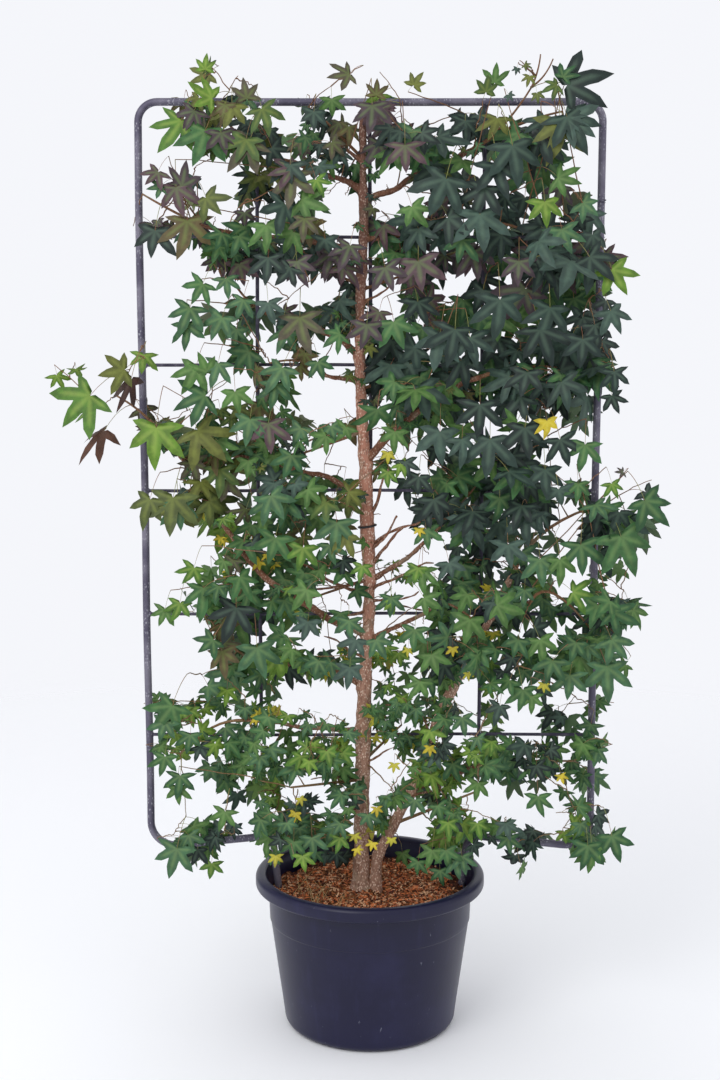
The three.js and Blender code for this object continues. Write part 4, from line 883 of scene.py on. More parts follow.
# Leaves that stand out in front of the rest: x and z of the stalk's end as the eye sees it in the trellis's
# plane and length of the middle lobe in millimetres, its lean to the right from straight down in degrees,
# and tint.
SHOWN = [
    (-586, 1603, 64, -80, "olive"), (-474, 1297, 88, -8, "olive"), (-362, 1618, 60, -18, "mid"),
    (458, 2262, 92, 115, "dark"), (459, 2190, 86, 25, "dark"), (333, 2124, 96, 15, "dark"),
    (177, 2048, 98, -28, "dark"), (258, 1966, 98, 8, "dark"), (410, 1995, 60, 5, "fresh"),
    (518, 1868, 84, 48, "dark"), (113, 1857, 80, 8, "purple"), (81, 2124, 68, 0, "purple"),
    (101, 2262, 36, 150, "olive"), (269, 2247, 42, 170, "olive"), (423, 1482, 40, 10, "yellow"),
    (599, 457, 62, 20, "mid"), (-167, 1726, 78, 5, "bronze"), (-484, 786, 76, -35, "mid"),
    (-325, 1029, 84, -20, "dark"), (-275, 930, 76, 10, "mid"), (-461, 1041, 46, -12, "fresh"),
    (-162, 1176, 60, -8, "fresh"), (-19, 1132, 38, -10, "fresh"), (-34, 950, 50, -25, "dark"),
    (15, 950, 50, 30, "mid"), (-49, 881, 50, -5, "dark"), (-442, 2032, 60, 165, "purple"),
    (-386, 2005, 56, 40, "olive"), (-291, 2138, 62, -20, "olive"), (-384, 2298, 34, 175, "fresh"),
    (-48, 1894, 60, -20, "purple"), (35, 1843, 62, 20, "purple"), (-478, 424, 70, -16, "mid"),
    (307, 1768, 90, 0, "dark"), (403, 1698, 90, 20, "dark"), (201, 1698, 85, -10, "dark"),
    (287, 1437, 88, -5, "dark"), (154, 1293, 70, 15, "dark"), (411, 1147, 70, 5, "mid"),
    (243, 1000, 68, -10, "mid"), (-188, 442, 48, -10, "mid"), (-143, 452, 52, 8, "mid"),
    (-74, 452, 40, -5, "fresh"), (154, 420, 48, -15, "mid"), (189, 420, 50, 10, "mid"),
    (229, 405, 45, 5, "mid"), (-5, 511, 42, 10, "mid"), (-37, 460, 22, 10, "yellow"),
    (7, 440, 22, -20, "yellow"), (54, 450, 20, 0, "yellow"), (-32, 425, 20, 30, "yellow"),
    (17, 529, 22, 5, "yellow"), (-184, 516, 24, -15, "yellow"), (-172, 554, 20, 25, "yellow"),
    (147, 683, 24, 0, "yellow"), (425, 840, 22, -10, "yellow"), (470, 612, 22, 15, "yellow"),
    (60, 640, 22, -5, "yellow"), (-427, 1749, 70, -22, "mid"), (-351, 1726, 60, -28, "mid"),
    (297, 2078, 85, 8, "dark"), (267, 2028, 78, -20, "dark"), (-201, 1989, 72, -22, "dark"),
    (-245, 1942, 60, 10, "mid"), (-241, 1866, 62, 0, "dark"), (-173, 1857, 58, 12, "purple"),
    (183, 1959, 74, 55, "dark"), (216, 1908, 60, -10, "mid"), (56, 1716, 70, 18, "mid"),
    (-8, 1709, 62, -5, "purple"), (166, 1684, 75, -15, "dark"), (237, 1679, 70, 10, "dark"),
    (167, 1456, 75, -5, "dark"), (220, 1437, 60, 15, "dark"), (370, 1465, 80, 0, "dark"),
    (455, 1437, 70, 20, "dark"), (515, 1425, 60, -10, "mid"), (-229, 1200, 66, -15, "mid"),
    (-60, 1208, 62, -30, "olive"), (-97, 1183, 50, 10, "mid"), (-426, 1127, 52, -25, "fresh"),
    (109, 975, 58, -10, "mid"), (151, 913, 55, 15, "mid"), (122, 846, 50, -20, "mid"),
    (374, 826, 56, 0, "mid"), (414, 950, 58, 15, "mid"), (360, 950, 50, -25, "mid"),
    (226, 756, 46, 10, "mid"), (-358, 519, 50, -15, "mid"), (318, 786, 50, -20, "dark"),
    (-190, 1843, 55, -35, "dark"), (420, 1365, 62, 0, "dark"), (333, 1183, 66, 0, "dark"),
    (459, 1147, 60, 10, "mid"), (540, 432, 62, -5, "mid"), (-467, 610, 54, -5, "mid"),
    (-498, 2064, 48, -40, "purple"), (-415, 1608, 62, -22, "mid"), (-210, 1608, 68, -35, "mid"),
    (342, 452, 44, 5, "mid"), (-323, 2215, 58, -10, "olive"), (-188, 2080, 66, -8, "dark"),
    (-502, 746, 50, -20, "mid"), (116, 1127, 42, -15, "fresh"), (-396, 1805, 55, -35, "mid"),
    (-341, 1817, 45, 10, "mid"), (-72, 1688, 48, -60, "mid"), (-124, 1622, 45, 20, "mid"),
    (-106, 1446, 45, -50, "mid"), (59, 1456, 50, -10, "mid"), (84, 1384, 42, 10, "dark"),
    (53, 1046, 34, 10, "fresh"), (131, 1054, 50, 58, "mid"), (-504, 658, 48, -10, "mid"),
    (-473, 580, 45, 0, "mid"), (266, 592, 45, -10, "mid"), (415, 557, 48, 0, "mid"),
    (111, 549, 44, -10, "mid"), (168, 534, 40, 20, "mid"), (396, 809, 42, 0, "mid"),
    (-382, 950, 55, -45, "mid"), (-151, 995, 50, -10, "dark"), (-339, 2217, 46, -10, "bronze"),
    (98, 1984, 55, 30, "mid"), (-227, 1568, 58, 0, "mid"), (262, 1520, 80, 0, "dark"),
    (426, 1749, 78, -10, "dark"), (-441, 713, 46, -5, "mid"), (550, 422, 52, 0, "mid"),
    (-669, 1542, 98, -52, "fresh"), (-570, 1580, 82, -20, "dead"), (-637, 1458, 88, -54, "dead"),
    (-512, 1465, 98, -8, "fresh"), (-412, 1458, 92, 42, "olive"), (-394, 1542, 80, -75, "mid"),
    (-389, 1599, 50, -160, "mid"), (662, 1290, 78, 38, "mid"), (606, 1203, 100, 24, "mid"),
    (509, 1183, 84, 8, "mid"), (590, 1019, 66, 62, "mid"), (589, 950, 66, 38, "mid"),
    (578, 883, 84, 2, "mid"), (488, 861, 62, -3, "mid"), (492, 1068, 56, 82, "fresh"),
    (581, 1331, 40, 20, "fresh"), (607, 1360, 22, -85, "purple"), (500, 1331, 45, 0, "mid"),
    (-369, 2233, 60, -112, "fresh"), (-288, 2233, 46, -170, "bronze"), (-442, 2181, 82, -28, "fresh"),
    (-411, 2203, 52, -30, "purple"), (-386, 2158, 86, -12, "mid"), (-349, 2153, 58, 10, "purple"),
    (-284, 2133, 82, -36, "bronze"), (-253, 2208, 64, 30, "olive"), (-132, 2201, 46, -8, "dark"),
    (4, 2215, 70, 2, "purple"), (13, 2240, 36, 172, "bronze"), (-50, 2287, 50, -72, "bronze"),
    (-456, 2028, 70, 8, "purple"), (-431, 1952, 88, 0, "bronze"), (-507, 1929, 70, -12, "dark"),
    (-491, 2032, 34, -70, "mid"), (-186, 2055, 75, 3, "bronze"), (-184, 2069, 55, -85, "purple"),
    (-127, 2046, 44, 30, "fresh"), (-161, 2000, 68, 68, "mid"), (-233, 406, 26, 0, "yellow"),
    (174, 368, 40, 5, "mid"), (214, 393, 44, 10, "mid"), (120, 391, 36, -15, "mid"),
    (-80, 1237, 75, -5, "mid"), (571, 1838, 70, 30, "fresh"), (135, 1271, 50, -40, "dark"),
    (135, 1220, 55, 8, "mid"), (118, 1222, 20, 0, "yellow"), (126, 1122, 56, -5, "mid"),
    (51, 1054, 50, -3, "mid"), (191, 1139, 50, 20, "dark"), (43, 1360, 34, -10, "fresh"),
    (72, 1379, 34, 40, "fresh"), (43, 1406, 26, 0, "yellow"), (117, 1348, 50, -10, "dark"),
    (202, 930, 22, 0, "yellow"), (239, 868, 20, 10, "yellow"), (93, 928, 20, -10, "yellow"),
    (459, 2185, 84, 66, "dark"), (442, 2178, 96, -4, "olive"), (440, 2051, 55, 70, "mid"),
    (500, 1993, 50, 50, "mid"), (451, 1931, 64, 15, "mid"), (351, 1857, 60, -5, "purple"),
    (581, 1599, 55, 10, "dark"), (577, 1542, 45, 20, "dark"), (570, 1742, 60, 30, "dark"),
    (-301, 1768, 48, -20, "mid"), (-242, 1761, 50, 10, "dark"), (-435, 1709, 60, 5, "mid"),
    (-322, 1551, 55, 10, "mid"), (-287, 1485, 62, -10, "mid"), (-244, 1475, 70, 5, "purple"),
    (-530, 1293, 66, -25, "olive"), (-462, 1280, 60, 10, "mid"), (-498, 1024, 45, -20, "mid"),
    (533, 1709, 60, 15, "dark"), (359, 2308, 18, 60, "olive"), (341, 2300, 16, -20, "dark"),
    (370, 2282, 24, -15, "olive"), (448, 2280, 36, 150, "mid"), (434, 2262, 40, -70, "olive"),
    (388, 2243, 24, 10, "olive"), (322, 2240, 20, 40, "dark"), (289, 2268, 40, 175, "mid"),
]
SHOWN_Y = -0.135
LEAF_SHARE = 0.80  # the area of a leaf as a share of its middle lobe's square, as it faces the eye
SEEN_SHARE = 0.62  # the part of that which other leaves leave in sight
BLADE_MIDDLE = 0.4  # where a leaf's middle lies along its middle lobe
OVERHANG = 0.045  # how far a leaf may reach out of its mass's space
WINDOW_MARGIN = 0.004  # how far a leaf may reach into open sky, and likewise a shoot's tip and a spur's leaf
TIP_MARGIN = 0.010
SPUR_MARGIN = 0.008
SKY_RIM = 0.012  # how far round open sky no gap is filled
SPRAY_SPACING = 0.36  # least distance between the middles of leaves, as a share of the mass's middle lobe
FILL_SPACING = 0.25
COVER_REACH = 0.50  # how far a leaf hides what lies behind it, as a share of its middle lobe
LEAVES_ON_SPRAY = 5
FRONT_SHARE = 0.3  # leaves up to this share of the mass's depth behind the trunk face the front
STEM_FOOT = 0.0046  # radii where a mass's stem leaves the trunk and ends, and where a twig ends
STEM_END = 0.0024
TWIG_END = 0.0009
TINTS = ["dark", "mid", "fresh", "olive", "yellow", "bronze", "purple", "dead"]
TWIG_RINGS = 9
TWIG_T = np.linspace(0, 1, TWIG_RINGS)[:, None]
HALFWAY = TWIG_RINGS // 2
LAST = TWIG_RINGS - 1
SPIRAL = math.radians(137.5)
FILL_STEP = 0.022
# The share of the open places in each mass that fills up.
FILL_SHARE = dict.fromkeys(MASSES, 0.35)
FILL_SHARE.update(dict.fromkeys(("upper_right", "middle_inner_right", "middle_upper_right", "centre_right",
                                 "upper_inner_right"), 1.0))
FILL_SHARE.update(dict.fromkeys(("lower_inner_right", "lower_right", "top_right", "upper_inner_left",
                                 "middle_inner_left", "lower_left", "lower_inner_left"), 0.7))
FILL_SHARE.update(dict.fromkeys(("far_left", "upper_far_left", "stem_right"), 0.12))


def even_spread(count, base):
    """Numbers 1 to count, each mirrored digit by digit in a base to a share from 0 to 1 (Halton's rule)."""
    index = np.arange(1, count + 1)
    found, digit = np.zeros(count), 1 / base
    while index.any():
        found += digit * (index % base)
        index = index // base
        digit /= base
    return found


def nearest_wood(starts, ends, place, first=0.12, last=0.95):
    """The point of many straight pieces of wood that lies nearest to a place, how far off, and on which."""
    line = ends - starts
    share = ((place - starts) * line).sum(1) / np.maximum((line ** 2).sum(1), 1e-12)
    points = starts + np.clip(share, first, last)[:, None] * line
    distance = np.linalg.norm(points - place, axis=1)
    best = int(np.argmin(distance))
    return points[best], distance[best], best


def moved_to(places, y):
    """The places on the same lines of sight from the eye, at another depth."""
    toward = (y - EYE[1]) / (places[..., 1] - EYE[1])
    return EYE + (places - EYE) * toward[..., None]


def in_window(places, margin):
    """Whether any place is seen in front of a stretch of open sky, more than a margin inside its edge."""
    seen = moved_to(places, TRELLIS_Y)
    left, right, low, high = SKY.T
    inside_x = (seen[:, :1] > left + margin) & (seen[:, :1] < right - margin)
    inside_z = (seen[:, 2:] > low + margin) & (seen[:, 2:] < high - margin)
    return bool((inside_x & inside_z).any())


def mass_stem(limb, at, head):
    """The path and radii of a mass's bent stem, from its bough's tip or the trunk's side to its head."""
    head = np.array(head)
    if at is not None:
        start = axis_at(STEMS[limb], at)
        leave = unit(head - start)
        foot = STEM_FOOT
    elif limb in STEMS:
        start = np.r_[STEMS[limb][-1, 1:3], STEMS[limb][-1, 0]]
        leave = unit(start - axis_at(STEMS[limb], STEMS[limb][-2, 0]))
        foot = STEMS[limb][-1, 3] / 2 * 0.9
    else:
        start = limb_paths[limb][-1]
        leave = unit(limb_paths[limb][-1] - limb_paths[limb][-4])
        foot = BOUGHS[limb][4][1] / 2 * 0.95
    bend = start + leave * np.linalg.norm(head - start) * 0.45
    return arch(start, bend, head, TWIG_T), foot + (STEM_END - foot) * TWIG_T[:, 0]


def bent_twig(start, end, sag, chance):
    """A slightly kinked twig between two places: it sags below its chord, or rises where sag is negative."""
    path = arch(start, (start + end) / 2 - [0, 0, sag], end, TWIG_T)
    path[1:-1] += chance.normal(0, 0.0014, (TWIG_RINGS - 2, 3))
    return path


# Points of a leaf that are tried before it is hung: its hub, the middles and the tips of its lobes.
PROBE_TURN = np.radians([0, 0, 0, -50, -50, 50, 50, -102, 102])
PROBE_REACH = np.array([0, 0.55, 1.0, 0.5, 0.9, 0.5, 0.9, 0.6, 0.6])
twig_paths, twig_radii = [], []
# Every leaf: where its stalk starts and ends, how its blade points and faces, its middle lobe and its tint.
hung = []


def probes_of(base, along, facing, lobe):
    """Where a leaf's probe points lie."""
    ahead, across, _ = turned_axes(along, facing)
    spread = np.cos(PROBE_TURN)[:, None] * ahead + np.sin(PROBE_TURN)[:, None] * across
    return base + lobe * PROBE_REACH[:, None] * spread


shown_x, shown_z, shown_lobe = np.array([row[:3] for row in SHOWN]).T / 1000
shown_lean = np.radians([row[3] for row in SHOWN])
shown_hub = moved_to(xyz(shown_x, TRELLIS_Y, shown_z), SHOWN_Y)
shown_along = xyz(np.sin(shown_lean), -0.25, -np.cos(shown_lean))
shown_middle = shown_hub + BLADE_MIDDLE * shown_lobe[:, None] * shown_along
taken = shown_middle.copy()
taken_lobe = shown_lobe.copy()


def fits(base, along, facing, size, low, high, spacing):
    """Whether a leaf may hang there.

    It has to lie in its space, off the open sky, clear of its neighbours and not over a leaf of SHOWN.
    """
    probes = probes_of(base, along, facing, size)
    middle = base + BLADE_MIDDLE * size * along
    if in_window(probes, WINDOW_MARGIN) or (probes.min(0) < np.maximum(CROWN_LOW, low - OVERHANG)).any():
        return False
    if (probes.max(0) > np.minimum(CROWN_HIGH, high + OVERHANG)).any():
        return False
    if np.linalg.norm(taken - middle, axis=1).min() < spacing:
        return False
    over = moved_to(middle[None], SHOWN_Y)[0] - shown_middle
    return middle[1] > SHOWN_Y + 0.03 or not (np.hypot(over[:, 0], over[:, 2]) < 0.75 * shown_lobe).any()


for index, (name, mass) in enumerate(MASSES.items()):
    limb, at, x, y, z, head, lobe, cover, shares = mass
    chance = np.random.default_rng(11 + 7 * index)
    low, high = np.array([x, y, z]).T
    path, radii = mass_stem(limb, at, head)
    twig_paths.append(path)
    twig_radii.append(radii)
    starts, ends = path[:-1], path[1:]
    widths = radii[:-1]
    leaves = int(cover * (x[1] - x[0]) * (z[1] - z[0]) / (LEAF_SHARE * SEEN_SHARE * lobe ** 2))
    sprays = max(1, leaves // LEAVES_ON_SPRAY)
    first_tip = low + np.array([0.10, 0.75, 0.45]) * lobe
    last_tip = high + np.array([-0.10, -0.75, 0.30]) * lobe
    spray_tips = first_tip + (last_tip - first_tip) * xyz(*[even_spread(sprays, base) for base in (2, 5, 3)])
    order = np.argsort([nearest_wood(starts, ends, tip)[1] for tip in spray_tips])
    shade = list(shares)
    spray_tints = chance.choice(len(shade), sprays, p=np.array([*shares.values()]) / sum(shares.values()))
    for spray, tip in enumerate(spray_tips[order]):
        if in_window(tip[None], TIP_MARGIN):
            continue
        point, distance, nearest = nearest_wood(starts, ends, tip)
        foot = max(0.0013, 0.6 * widths[min(nearest, len(widths) - 1)])
        path = bent_twig(point, tip, -0.05 * distance, chance)
        twig_paths.append(path)
        twig_radii.append(foot + (TWIG_END - foot) * TWIG_T[:, 0] ** 0.7)
        starts = np.vstack([starts, path[[0, HALFWAY]]])
        ends = np.vstack([ends, path[[HALFWAY, LAST]]])
        widths = np.r_[widths, foot, foot * 0.7]
        first_turn = chance.uniform(0, 2 * math.pi)
        leaves_before = len(hung)
        for leaf in range(chance.integers(4, 8)):
            node = path[max(LAST - leaf, 3)]
            size = lobe * chance.uniform(0.70, 1.20) * (1 - 0.03 * leaf)
            for attempt in range(5):
                turn = first_turn + leaf * SPIRAL + chance.normal(0, 0.3) + attempt * 1.3
                outward = np.array([math.cos(turn), math.sin(turn), chance.normal(0.05, 0.35)])
                stalk = size * chance.uniform(0.5, 1.0)
                base = node + stalk * unit(outward) - [0, 0, 0.2 * stalk]
                along = unit(outward * [0.50, 0.35, 0.35] + chance.normal(0, 0.30, 3) * [1, 0.6, 1]
                             - [0, 0, 0.80])
                side = -1 if base[1] < FRONT_SHARE * y[1] else 1
                aslant = 0.3 * outward[0] + chance.normal(0, 0.42)
                facing = np.array([aslant, side, 0.40 + chance.normal(0, 0.40)])
                if not fits(base, along, facing, size, low, high, SPRAY_SPACING * lobe):
                    continue
                tint_name = shade[spray_tints[spray]]
                if chance.uniform() < 0.15:
                    tint_name = shade[chance.integers(len(shade))]
                taken = np.vstack([taken, base + BLADE_MIDDLE * size * along])
                taken_lobe = np.r_[taken_lobe, size]
                hung.append((node, base, along, facing, size, tint_name))
                break
        if len(hung) == leaves_before:
            # a shoot that bears nothing is left out
            twig_paths.pop()
            twig_radii.pop()
            starts, ends, widths = starts[:-2], ends[:-2], widths[:-2]
    # leaves turn to the light: a share of the open places off the sky get one more, from the nearest twig
    grid_x, grid_z = np.meshgrid(np.arange(x[0] + 0.01, x[1], FILL_STEP),
                                 np.arange(z[0], z[1] + 0.02, FILL_STEP))
    for place in chance.permutation(xyz(grid_x.ravel(), TRELLIS_Y, grid_z.ravel())):
        seen = moved_to(taken, TRELLIS_Y)
        gap = np.hypot(seen[:, 0] - place[0], seen[:, 2] - place[2])
        filled = (gap < COVER_REACH * taken_lobe).any() or in_window(place[None], -SKY_RIM)
        if filled or chance.uniform() > FILL_SHARE[name]:
            continue
        size = lobe * chance.uniform(0.62, 1.05)
        middle = moved_to(place[None], chance.uniform(0.75 * y[0], 0.4 * y[1]))[0]
        for attempt in range(6):
            along = unit(chance.normal(0, 0.45, 3) * [1, 0.6, 0.6] - [0, 0, 0.8])
            base = middle - BLADE_MIDDLE * size * along
            side = -1 if base[1] < FRONT_SHARE * y[1] else 1
            facing = np.array([chance.normal(0, 0.42), side, 0.40 + chance.normal(0, 0.38)])
            if not fits(base, along, facing, size, low, high, FILL_SPACING * lobe):
                continue
            aim = base - 0.5 * size * along + [0, 0.3 * size, 0.2 * size]
            aim[2] = min(aim[2], TWIGS_TOP)
            node, distance, _ = nearest_wood(starts, ends, aim)
            if distance > 0.6 * size:
                path = bent_twig(node, aim, -0.05 * distance, chance)
                twig_paths.append(path)
                twig_radii.append(np.linspace(0.0015, TWIG_END, TWIG_RINGS))
                starts = np.vstack([starts, path[[0, HALFWAY]]])
                ends = np.vstack([ends, path[[HALFWAY, LAST]]])
                node = aim
            taken = np.vstack([taken, middle])
            taken_lobe = np.r_[taken_lobe, size]
            tint_name = shade[spray_tints[chance.integers(sprays)]]
            hung.append((node, base, along, facing, size, tint_name))
            break

# The shoots that stand up bare above the crown: x and z of foot, bend and tip, their depth and their width.
BARE_SHOOTS = [
    ((0.257, 2.122), (0.318, 2.165), (0.370, 2.250), -0.032, 0.0066),
    ((0.370, 2.250), (0.386, 2.285), (0.389, 2.322), -0.032, 0.0048),
    ((0.370, 2.250), (0.402, 2.270), (0.418, 2.312), -0.032, 0.0048),
    ((0.062, 2.028), (0.082, 2.110), (0.074, 2.222), -0.012, 0.0034),
    ((-0.352, 2.195), (-0.385, 2.225), (-0.381, 2.300), -0.040, 0.0026),
]
for *bends, depth, width in BARE_SHOOTS:
    twig_paths.append(arch(*[np.array([place[0], depth, place[1]]) for place in bends], TWIG_T))
    twig_radii.append(width / 2 * (1.1 - 0.4 * TWIG_T[:, 0]))

# The leaves that stand out each take a stalk from the wood nearest to them, by a twig if that is far.
wood = [*twig_paths, *limb_paths.values()]
wood_starts = np.vstack([path[:-1] for path in wood])
wood_ends = np.vstack([path[1:] for path in wood])
shown_chance = np.random.default_rng(909)
for hub, along, lobe, row in zip(shown_hub, shown_along, shown_lobe, SHOWN):
    aim = hub - 0.7 * lobe * unit(along) + [0, 0.5 * lobe, 0.3 * lobe]
    point, distance, _ = nearest_wood(wood_starts, wood_ends, aim)
    if distance > 0.5 * lobe:
        # the twig climbs to its leaf from the nearest wood that it can leave without crossing open sky
        nearest_first = np.argsort(np.linalg.norm(wood_ends - aim, axis=1))[:600:10]
        for start in wood_ends[nearest_first]:
            run = start + np.linspace(0.1, 0.9, 7)[:, None] * (aim - start)
            if start[2] < aim[2] + 0.02 and not in_window(run, WINDOW_MARGIN):
                point = start
                break
        path = bent_twig(point, aim, -0.03 * np.linalg.norm(aim - point), shown_chance)
        twig_paths.append(path)
        twig_radii.append(np.linspace(0.0017, 0.0010, TWIG_RINGS))
        point = aim
    facing = np.array([shown_chance.normal(0, 0.15), -1.0, 0.35 + shown_chance.normal(0, 0.12)])
    hung.append((point, hub, unit(along), facing, lobe, row[4]))

# Spurs: every few centimetres a short shoot on the old wood bears a few tiny leaves.
SPUR_STEP = 0.042
SPUR_HUES_LOW = ["mid", "mid", "fresh", "fresh", "yellow"]
SPUR_HUES_HIGH = ["mid", "dark", "olive", "mid", "bronze"]
SPUR_CHANGE = 1.30
old_wood = dict(limb_paths)
for stem_name, stations in STEMS.items():
    levels = np.linspace(stations[5, 0], stations[-1, 0], 60)
    old_wood[stem_name] = np.c_[along_stations(stations, levels)[:, :2], levels]
for index, (name, path) in enumerate(old_wood.items()):
    chance = np.random.default_rng(300 + index)
    run = lengths_along(path)
    step = SPUR_STEP * (1.6 if name in STEMS else 1)
    for distance in np.arange(0.03, run[-1], step) + chance.uniform(-0.3, 0.3) * step:
        foot = np.array([np.interp(distance, run, path[:, axis]) for axis in range(3)])
        piece = min(int(np.searchsorted(run, distance)), len(path) - 1)
        ahead = unit(path[piece] - path[piece - 1])
        outward = chance.normal(0, 1, 3) * [1, 1, 0.8] + [0, -0.3, 0.1]
        outward = unit(outward - (outward @ ahead) * ahead)
        thick = STEMS[name][5, 3] / 2 if name in STEMS else BOUGHS[name][4][0] / 2
        tip = foot + outward * (thick + chance.uniform(0.008, 0.035))
        twig_paths.append(bent_twig(foot, tip, 0.0, chance))
        twig_radii.append(np.linspace(0.0014, TWIG_END, TWIG_RINGS))
        for leaf in range(chance.integers(2, 5)):
            size = chance.uniform(0.015, 0.032)
            turn = leaf * SPIRAL + chance.uniform(0, 1)
            way = unit(outward + [math.cos(turn), math.sin(turn), chance.normal(0, 0.5)])
            base = tip + way * size * chance.uniform(0.4, 0.9)
            along = unit(0.7 * way + chance.normal(0, 0.3, 3) - [0, 0, 0.45])
            side = -1 if base[1] < 0.02 else 1
            facing = np.array([chance.normal(0, 0.4), side, 0.4 + chance.normal(0, 0.3)])
            probes = probes_of(base, along, facing, size)
            if in_window(probes, SPUR_MARGIN) or (probes.max(0) > CROWN_HIGH).any():
                continue
            hues = SPUR_HUES_LOW if base[2] < SPUR_CHANGE else SPUR_HUES_HIGH
            hung.append((tip, base, along, facing, size, hues[chance.integers(len(hues))]))

stalk_start, leaf_base, leaf_along, leaf_facing, leaf_lobe, tint_names = map(np.array, zip(*hung))
leaf_tint = np.array([TINTS.index(tint_name) for tint_name in tint_names])

twigs = add_piece("twigs", *tubes(np.array(twig_paths), np.array(twig_radii), 6), twig_bark)
ALL_MASSES = ["foliage_" + name for name in MASSES]
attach(twigs, "root")
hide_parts(*ALL_MASSES)

# Stalks: slender, bent, reddish green, each from its shoot to the foot of its blade.
stalk_t = np.linspace(0, 1, 6)[None, :, None]
stalk_middle = (stalk_start + leaf_base) / 2
stalk_middle[:, 2] += 0.18 * np.linalg.norm(leaf_base - stalk_start, axis=1)
stalk_paths = arch(stalk_start[:, None], stalk_middle[:, None], leaf_base[:, None], stalk_t)
stalk_radii = np.clip(leaf_lobe[:, None] * 0.010, 0.0003, 0.0008) * (1.25 - 0.5 * stalk_t[..., 0])
stalk_finish = two_tone("leaf_stalk", 14.0, 3.0, (0.4, 0.6), tint(138, 142, 78), tint(146, 96, 72),
                        Roughness=0.6)
stalks = add_piece("leaf_stalks", *tubes(stalk_paths, stalk_radii, 4), stalk_finish)
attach(stalks, "root")
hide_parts(*ALL_MASSES)

# The half outline of a blade, from the tip of its middle lobe round to the stalk: degrees off the middle
# lobe, and distance from the stalk's end as a share of that lobe.
OUTLINE = np.array([
    [0, 1.00], [6, 0.84], [15, 0.64], [21, 0.50], [28, 0.41], [33, 0.52], [39, 0.70], [50, 0.92],
    [60, 0.70], [67, 0.51], [77, 0.38], [87, 0.45], [94, 0.55], [103, 0.68], [117, 0.44], [152, 0.14],
])
NOTCHES = {28, 77}
RIM = 2 * len(OUTLINE) - 1
RIBS = np.array([[-103, 0.36], [-50, 0.48], [0, 0.52], [50, 0.48], [103, 0.36]])
# Rim points run from the left foot over the tip to the right foot; the ribs' middles and the hub follow.
rim_polar = np.vstack([OUTLINE[::-1] * [-1, 1], OUTLINE[1:]])
face_polar = np.vstack([rim_polar, RIBS, [[0, 0.0]]])
HUB = RIM + len(RIBS)
HUB_UNDER = HUB + len(RIBS) + 1
NOTCH_POINTS = [0] + [i for i, (turn, _) in enumerate(rim_polar) if abs(int(turn)) in NOTCHES] + [RIM - 1]


def blade_triangles():
    """Triangles of a blade's upper side: each lobe is a fan round its rib's middle, closed to the hub."""
    found = []
    for rib, (first, last) in enumerate(zip(NOTCH_POINTS[:-1], NOTCH_POINTS[1:])):
        middle = RIM + rib
        found += [(middle, point, point + 1) for point in range(first, last)]
        found += [(HUB, first, middle), (HUB, middle, last)]
    return found


upper = np.array(blade_triangles())
# The lower side has the same triangles turned over, with its own ribs and hub and the same rim; two more
# close the slit where the stalk meets the blade.
lower = np.where(upper >= RIM, upper + len(RIBS) + 1, upper)[:, ::-1]
blade_faces = np.vstack([upper, lower, [[0, HUB, HUB_UNDER], [HUB, RIM - 1, HUB_UNDER]]])
BLADE_POINTS = RIM + 2 * (len(RIBS) + 1)

leaf_chance = np.random.default_rng(77)
count = len(leaf_base)
slim = leaf_chance.uniform(0.80, 1.10, (count, 1)) * np.clip(1.22 - 3.6 * leaf_lobe[:, None], 0.84, 1.10)
droop = leaf_chance.uniform(0.02, 0.30, (count, 1))
fold = leaf_chance.normal(0.12, 0.10, (count, 1))
dead = (leaf_tint == TINTS.index("dead"))[:, None]
curl = np.where(dead, 1.3, leaf_chance.uniform(-0.06, 0.14, (count, 1)))
sway = leaf_chance.normal(0, 0.12, (count, 1))
angle = np.radians(face_polar[:, 0])[None]
nearest_rib = np.argmin(np.abs(face_polar[:, :1] - RIBS[:, 0]), axis=1)
lobe_sag = leaf_chance.normal(0, 0.11, (count, 5))[:, nearest_rib]
lobe_length = 1 + leaf_chance.normal(0, 0.07, (count, 5))[:, nearest_rib]
notch = np.clip((0.62 - face_polar[:, 1]) / 0.3, 0, 1)[None] * (np.arange(len(face_polar)) < RIM)
reach = face_polar[:, 1][None] * (1 - (1 - slim) * notch) * (1 + (lobe_length - 1) * (1 - notch))
forward = reach * np.cos(angle)
sideways = (reach * np.sin(angle) + sway * forward ** 2) * np.where(dead, 0.5, 1)
from_rib = np.abs(np.sin(np.radians(3.6 * face_polar[:, 0])))[None] * reach
sag = (droop + lobe_sag + 0.5 * dead) * reach ** 2
height = -sag + fold * from_rib * 0.5 - curl * (np.abs(sideways) ** 1.5)
axes = turned_axes(leaf_along, leaf_facing)
THICK = 0.006  # of a blade, to each side of its rim, as a share of its middle lobe
side_height = np.concatenate([height, height[:, RIM:] - THICK], axis=1)
side_height[:, RIM:RIM + len(RIBS) + 1] += THICK
flat = [np.concatenate([part, part[:, RIM:]], axis=1) for part in (forward, sideways)]
local = xyz(*flat, side_height) * leaf_lobe[:, None, None]
leaf_points = np.einsum("nvi,nij->nvj", local, axes) + leaf_base[:, None]
rib_mark = np.zeros(BLADE_POINTS)
rib_mark[RIM:RIM + len(RIBS) + 1] = 1
rib_mark[RIM + len(RIBS) + 1:] = -1

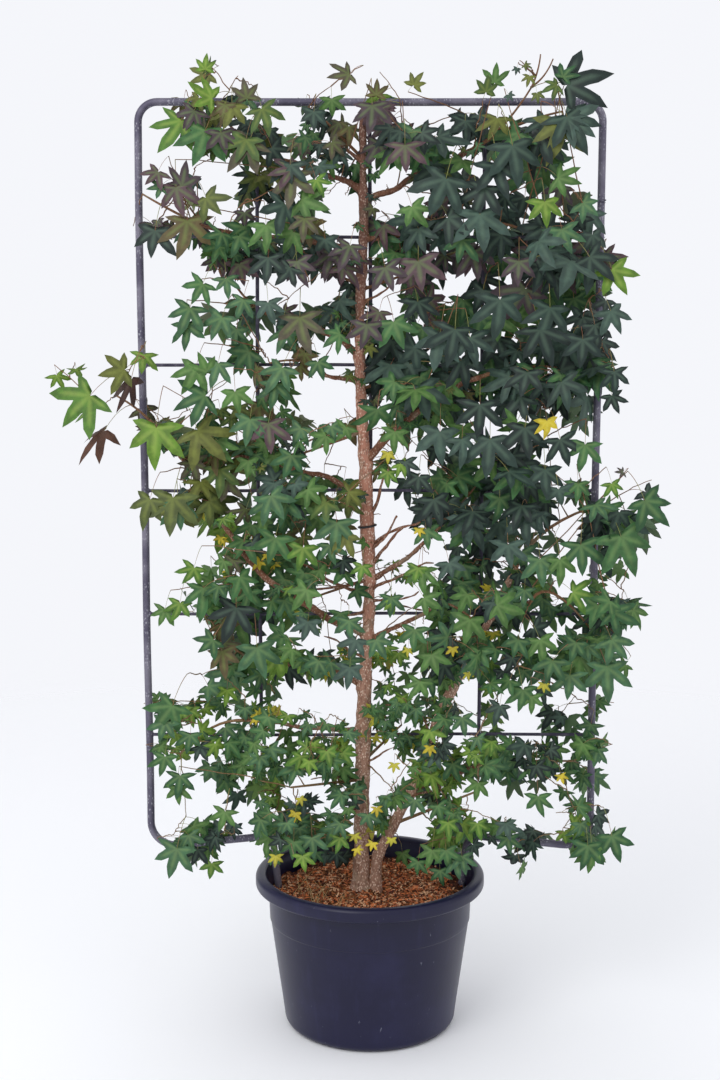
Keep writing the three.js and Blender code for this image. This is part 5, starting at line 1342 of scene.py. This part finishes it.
# Each tint: its slot, its shades, and the colour that it keeps along the ribs with how far that shows.
LEAF_SHADES = {
    # The third of the dark shades, lighter and greyer, is painted sheen: the pale bloom of light on the
    # leaves' faces.
    "dark": ("leaf_dark", [(42, 62, 54), (32, 49, 44), (62, 84, 74), (28, 43, 39)], (104, 130, 108), 0.28),
    "mid": ("leaf_mid", [(62, 104, 58), (50, 90, 54), (76, 114, 54), (66, 104, 70)], (134, 162, 98), 0.28),
    # This yellow-green tint is partly the colour of young leaves and partly painted light: the glow of
    # leaves lit from behind.
    "fresh": ("leaf_fresh", [(98, 134, 44), (80, 120, 42)], (168, 188, 92), 0.30),
    "olive": ("leaf_olive", [(98, 104, 46), (82, 94, 46), (74, 98, 46)], (146, 156, 74), 0.26),
    "yellow": ("leaf_olive", [(196, 176, 44), (170, 164, 50)], (214, 204, 90), 0.30),
    "bronze": ("leaf_bronze", [(96, 84, 52), (86, 80, 62)], (112, 132, 66), 0.42),
    "purple": ("leaf_bronze", [(88, 66, 72), (74, 60, 66)], (104, 128, 76), 0.45),
    "dead": ("leaf_bronze", [(70, 46, 40), (92, 62, 48)], (84, 60, 42), 0.30),
}


def leaf_finish(name, colour, rib_colour, rib_share):
    """A satin leaf: another hue along the ribs, a paler dull underside, mottling and fine relief."""
    finish = Finish(name, Specular_IOR_Level=0.32)
    mark = finish.node("Attribute", {}, output="Fac", attribute_name="rib")
    mottling = finish.noise(48.0, 4.0, 0.6)
    top = tint(*colour)
    deep = (*(0.66 * c for c in top[:3]), 1.0)
    under = (*(0.55 * c + 0.45 * p for c, p in zip(top[:3], tint(112, 138, 92)[:3])), 1.0)
    face = finish.blend(mottling.between(0.38, 0.64), deep, top)
    face = finish.blend(mark.between(0.35, 1.0) * rib_share, face, tint(*rib_colour))
    face = finish.blend((0 - mark).between(0.02, 0.12), face, under)
    finish.put(Base_Color=face, Roughness=0.46 + 0.2 * mottling)
    finish.rough_up(finish.noise(240.0, 2.0), 0.0006, 0.5)
    return finish


families = {}
for tint_index, tint_name in enumerate(TINTS):
    slot_name, colours, rib_colour, rib_share = LEAF_SHADES[tint_name]
    shades = [leaf_finish(f"{tint_name}_{number}", colour, rib_colour, rib_share)
              for number, colour in enumerate(colours, 1)]
    families.setdefault(slot_name, []).append((tint_index, shades))
for slot_name, members in families.items():
    chosen = np.isin(leaf_tint, [tint_index for tint_index, _ in members])
    finishes, first_slot = [], {}
    for tint_index, shades in members:
        first_slot[tint_index] = (len(finishes), len(shades))
        finishes += shades
    points = leaf_points[chosen]
    faces = (blade_faces + BLADE_POINTS * np.arange(len(points))[:, None, None]).reshape(-1, 3)
    blades = add_piece("leaves_" + slot_name[5:], points.reshape(-1, 3), faces.tolist(), *finishes)
    picks = leaf_chance.uniform(size=len(points))
    slots = [first_slot[t][0] + int(first_slot[t][1] * p) for t, p in zip(leaf_tint[chosen], picks)]
    blades.data.polygons.foreach_set("material_index", np.repeat(slots, len(blade_faces)).astype(np.int32))
    # the rim is a sharp edge, so that each side of a blade is shaded by itself
    edge_ends = np.zeros(2 * len(blades.data.edges), np.int32)
    blades.data.edges.foreach_get("vertices", edge_ends)
    on_rim = (edge_ends.reshape(-1, 2) % BLADE_POINTS < RIM).all(axis=1)
    blades.data.edges.foreach_set("use_edge_sharp", on_rim)
    marks = blades.data.attributes.new("rib", "FLOAT", "POINT")
    marks.data.foreach_set("value", np.tile(rib_mark, len(points)).astype(np.float32))
    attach(blades, "root")
    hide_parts(*ALL_MASSES)

low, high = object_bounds()
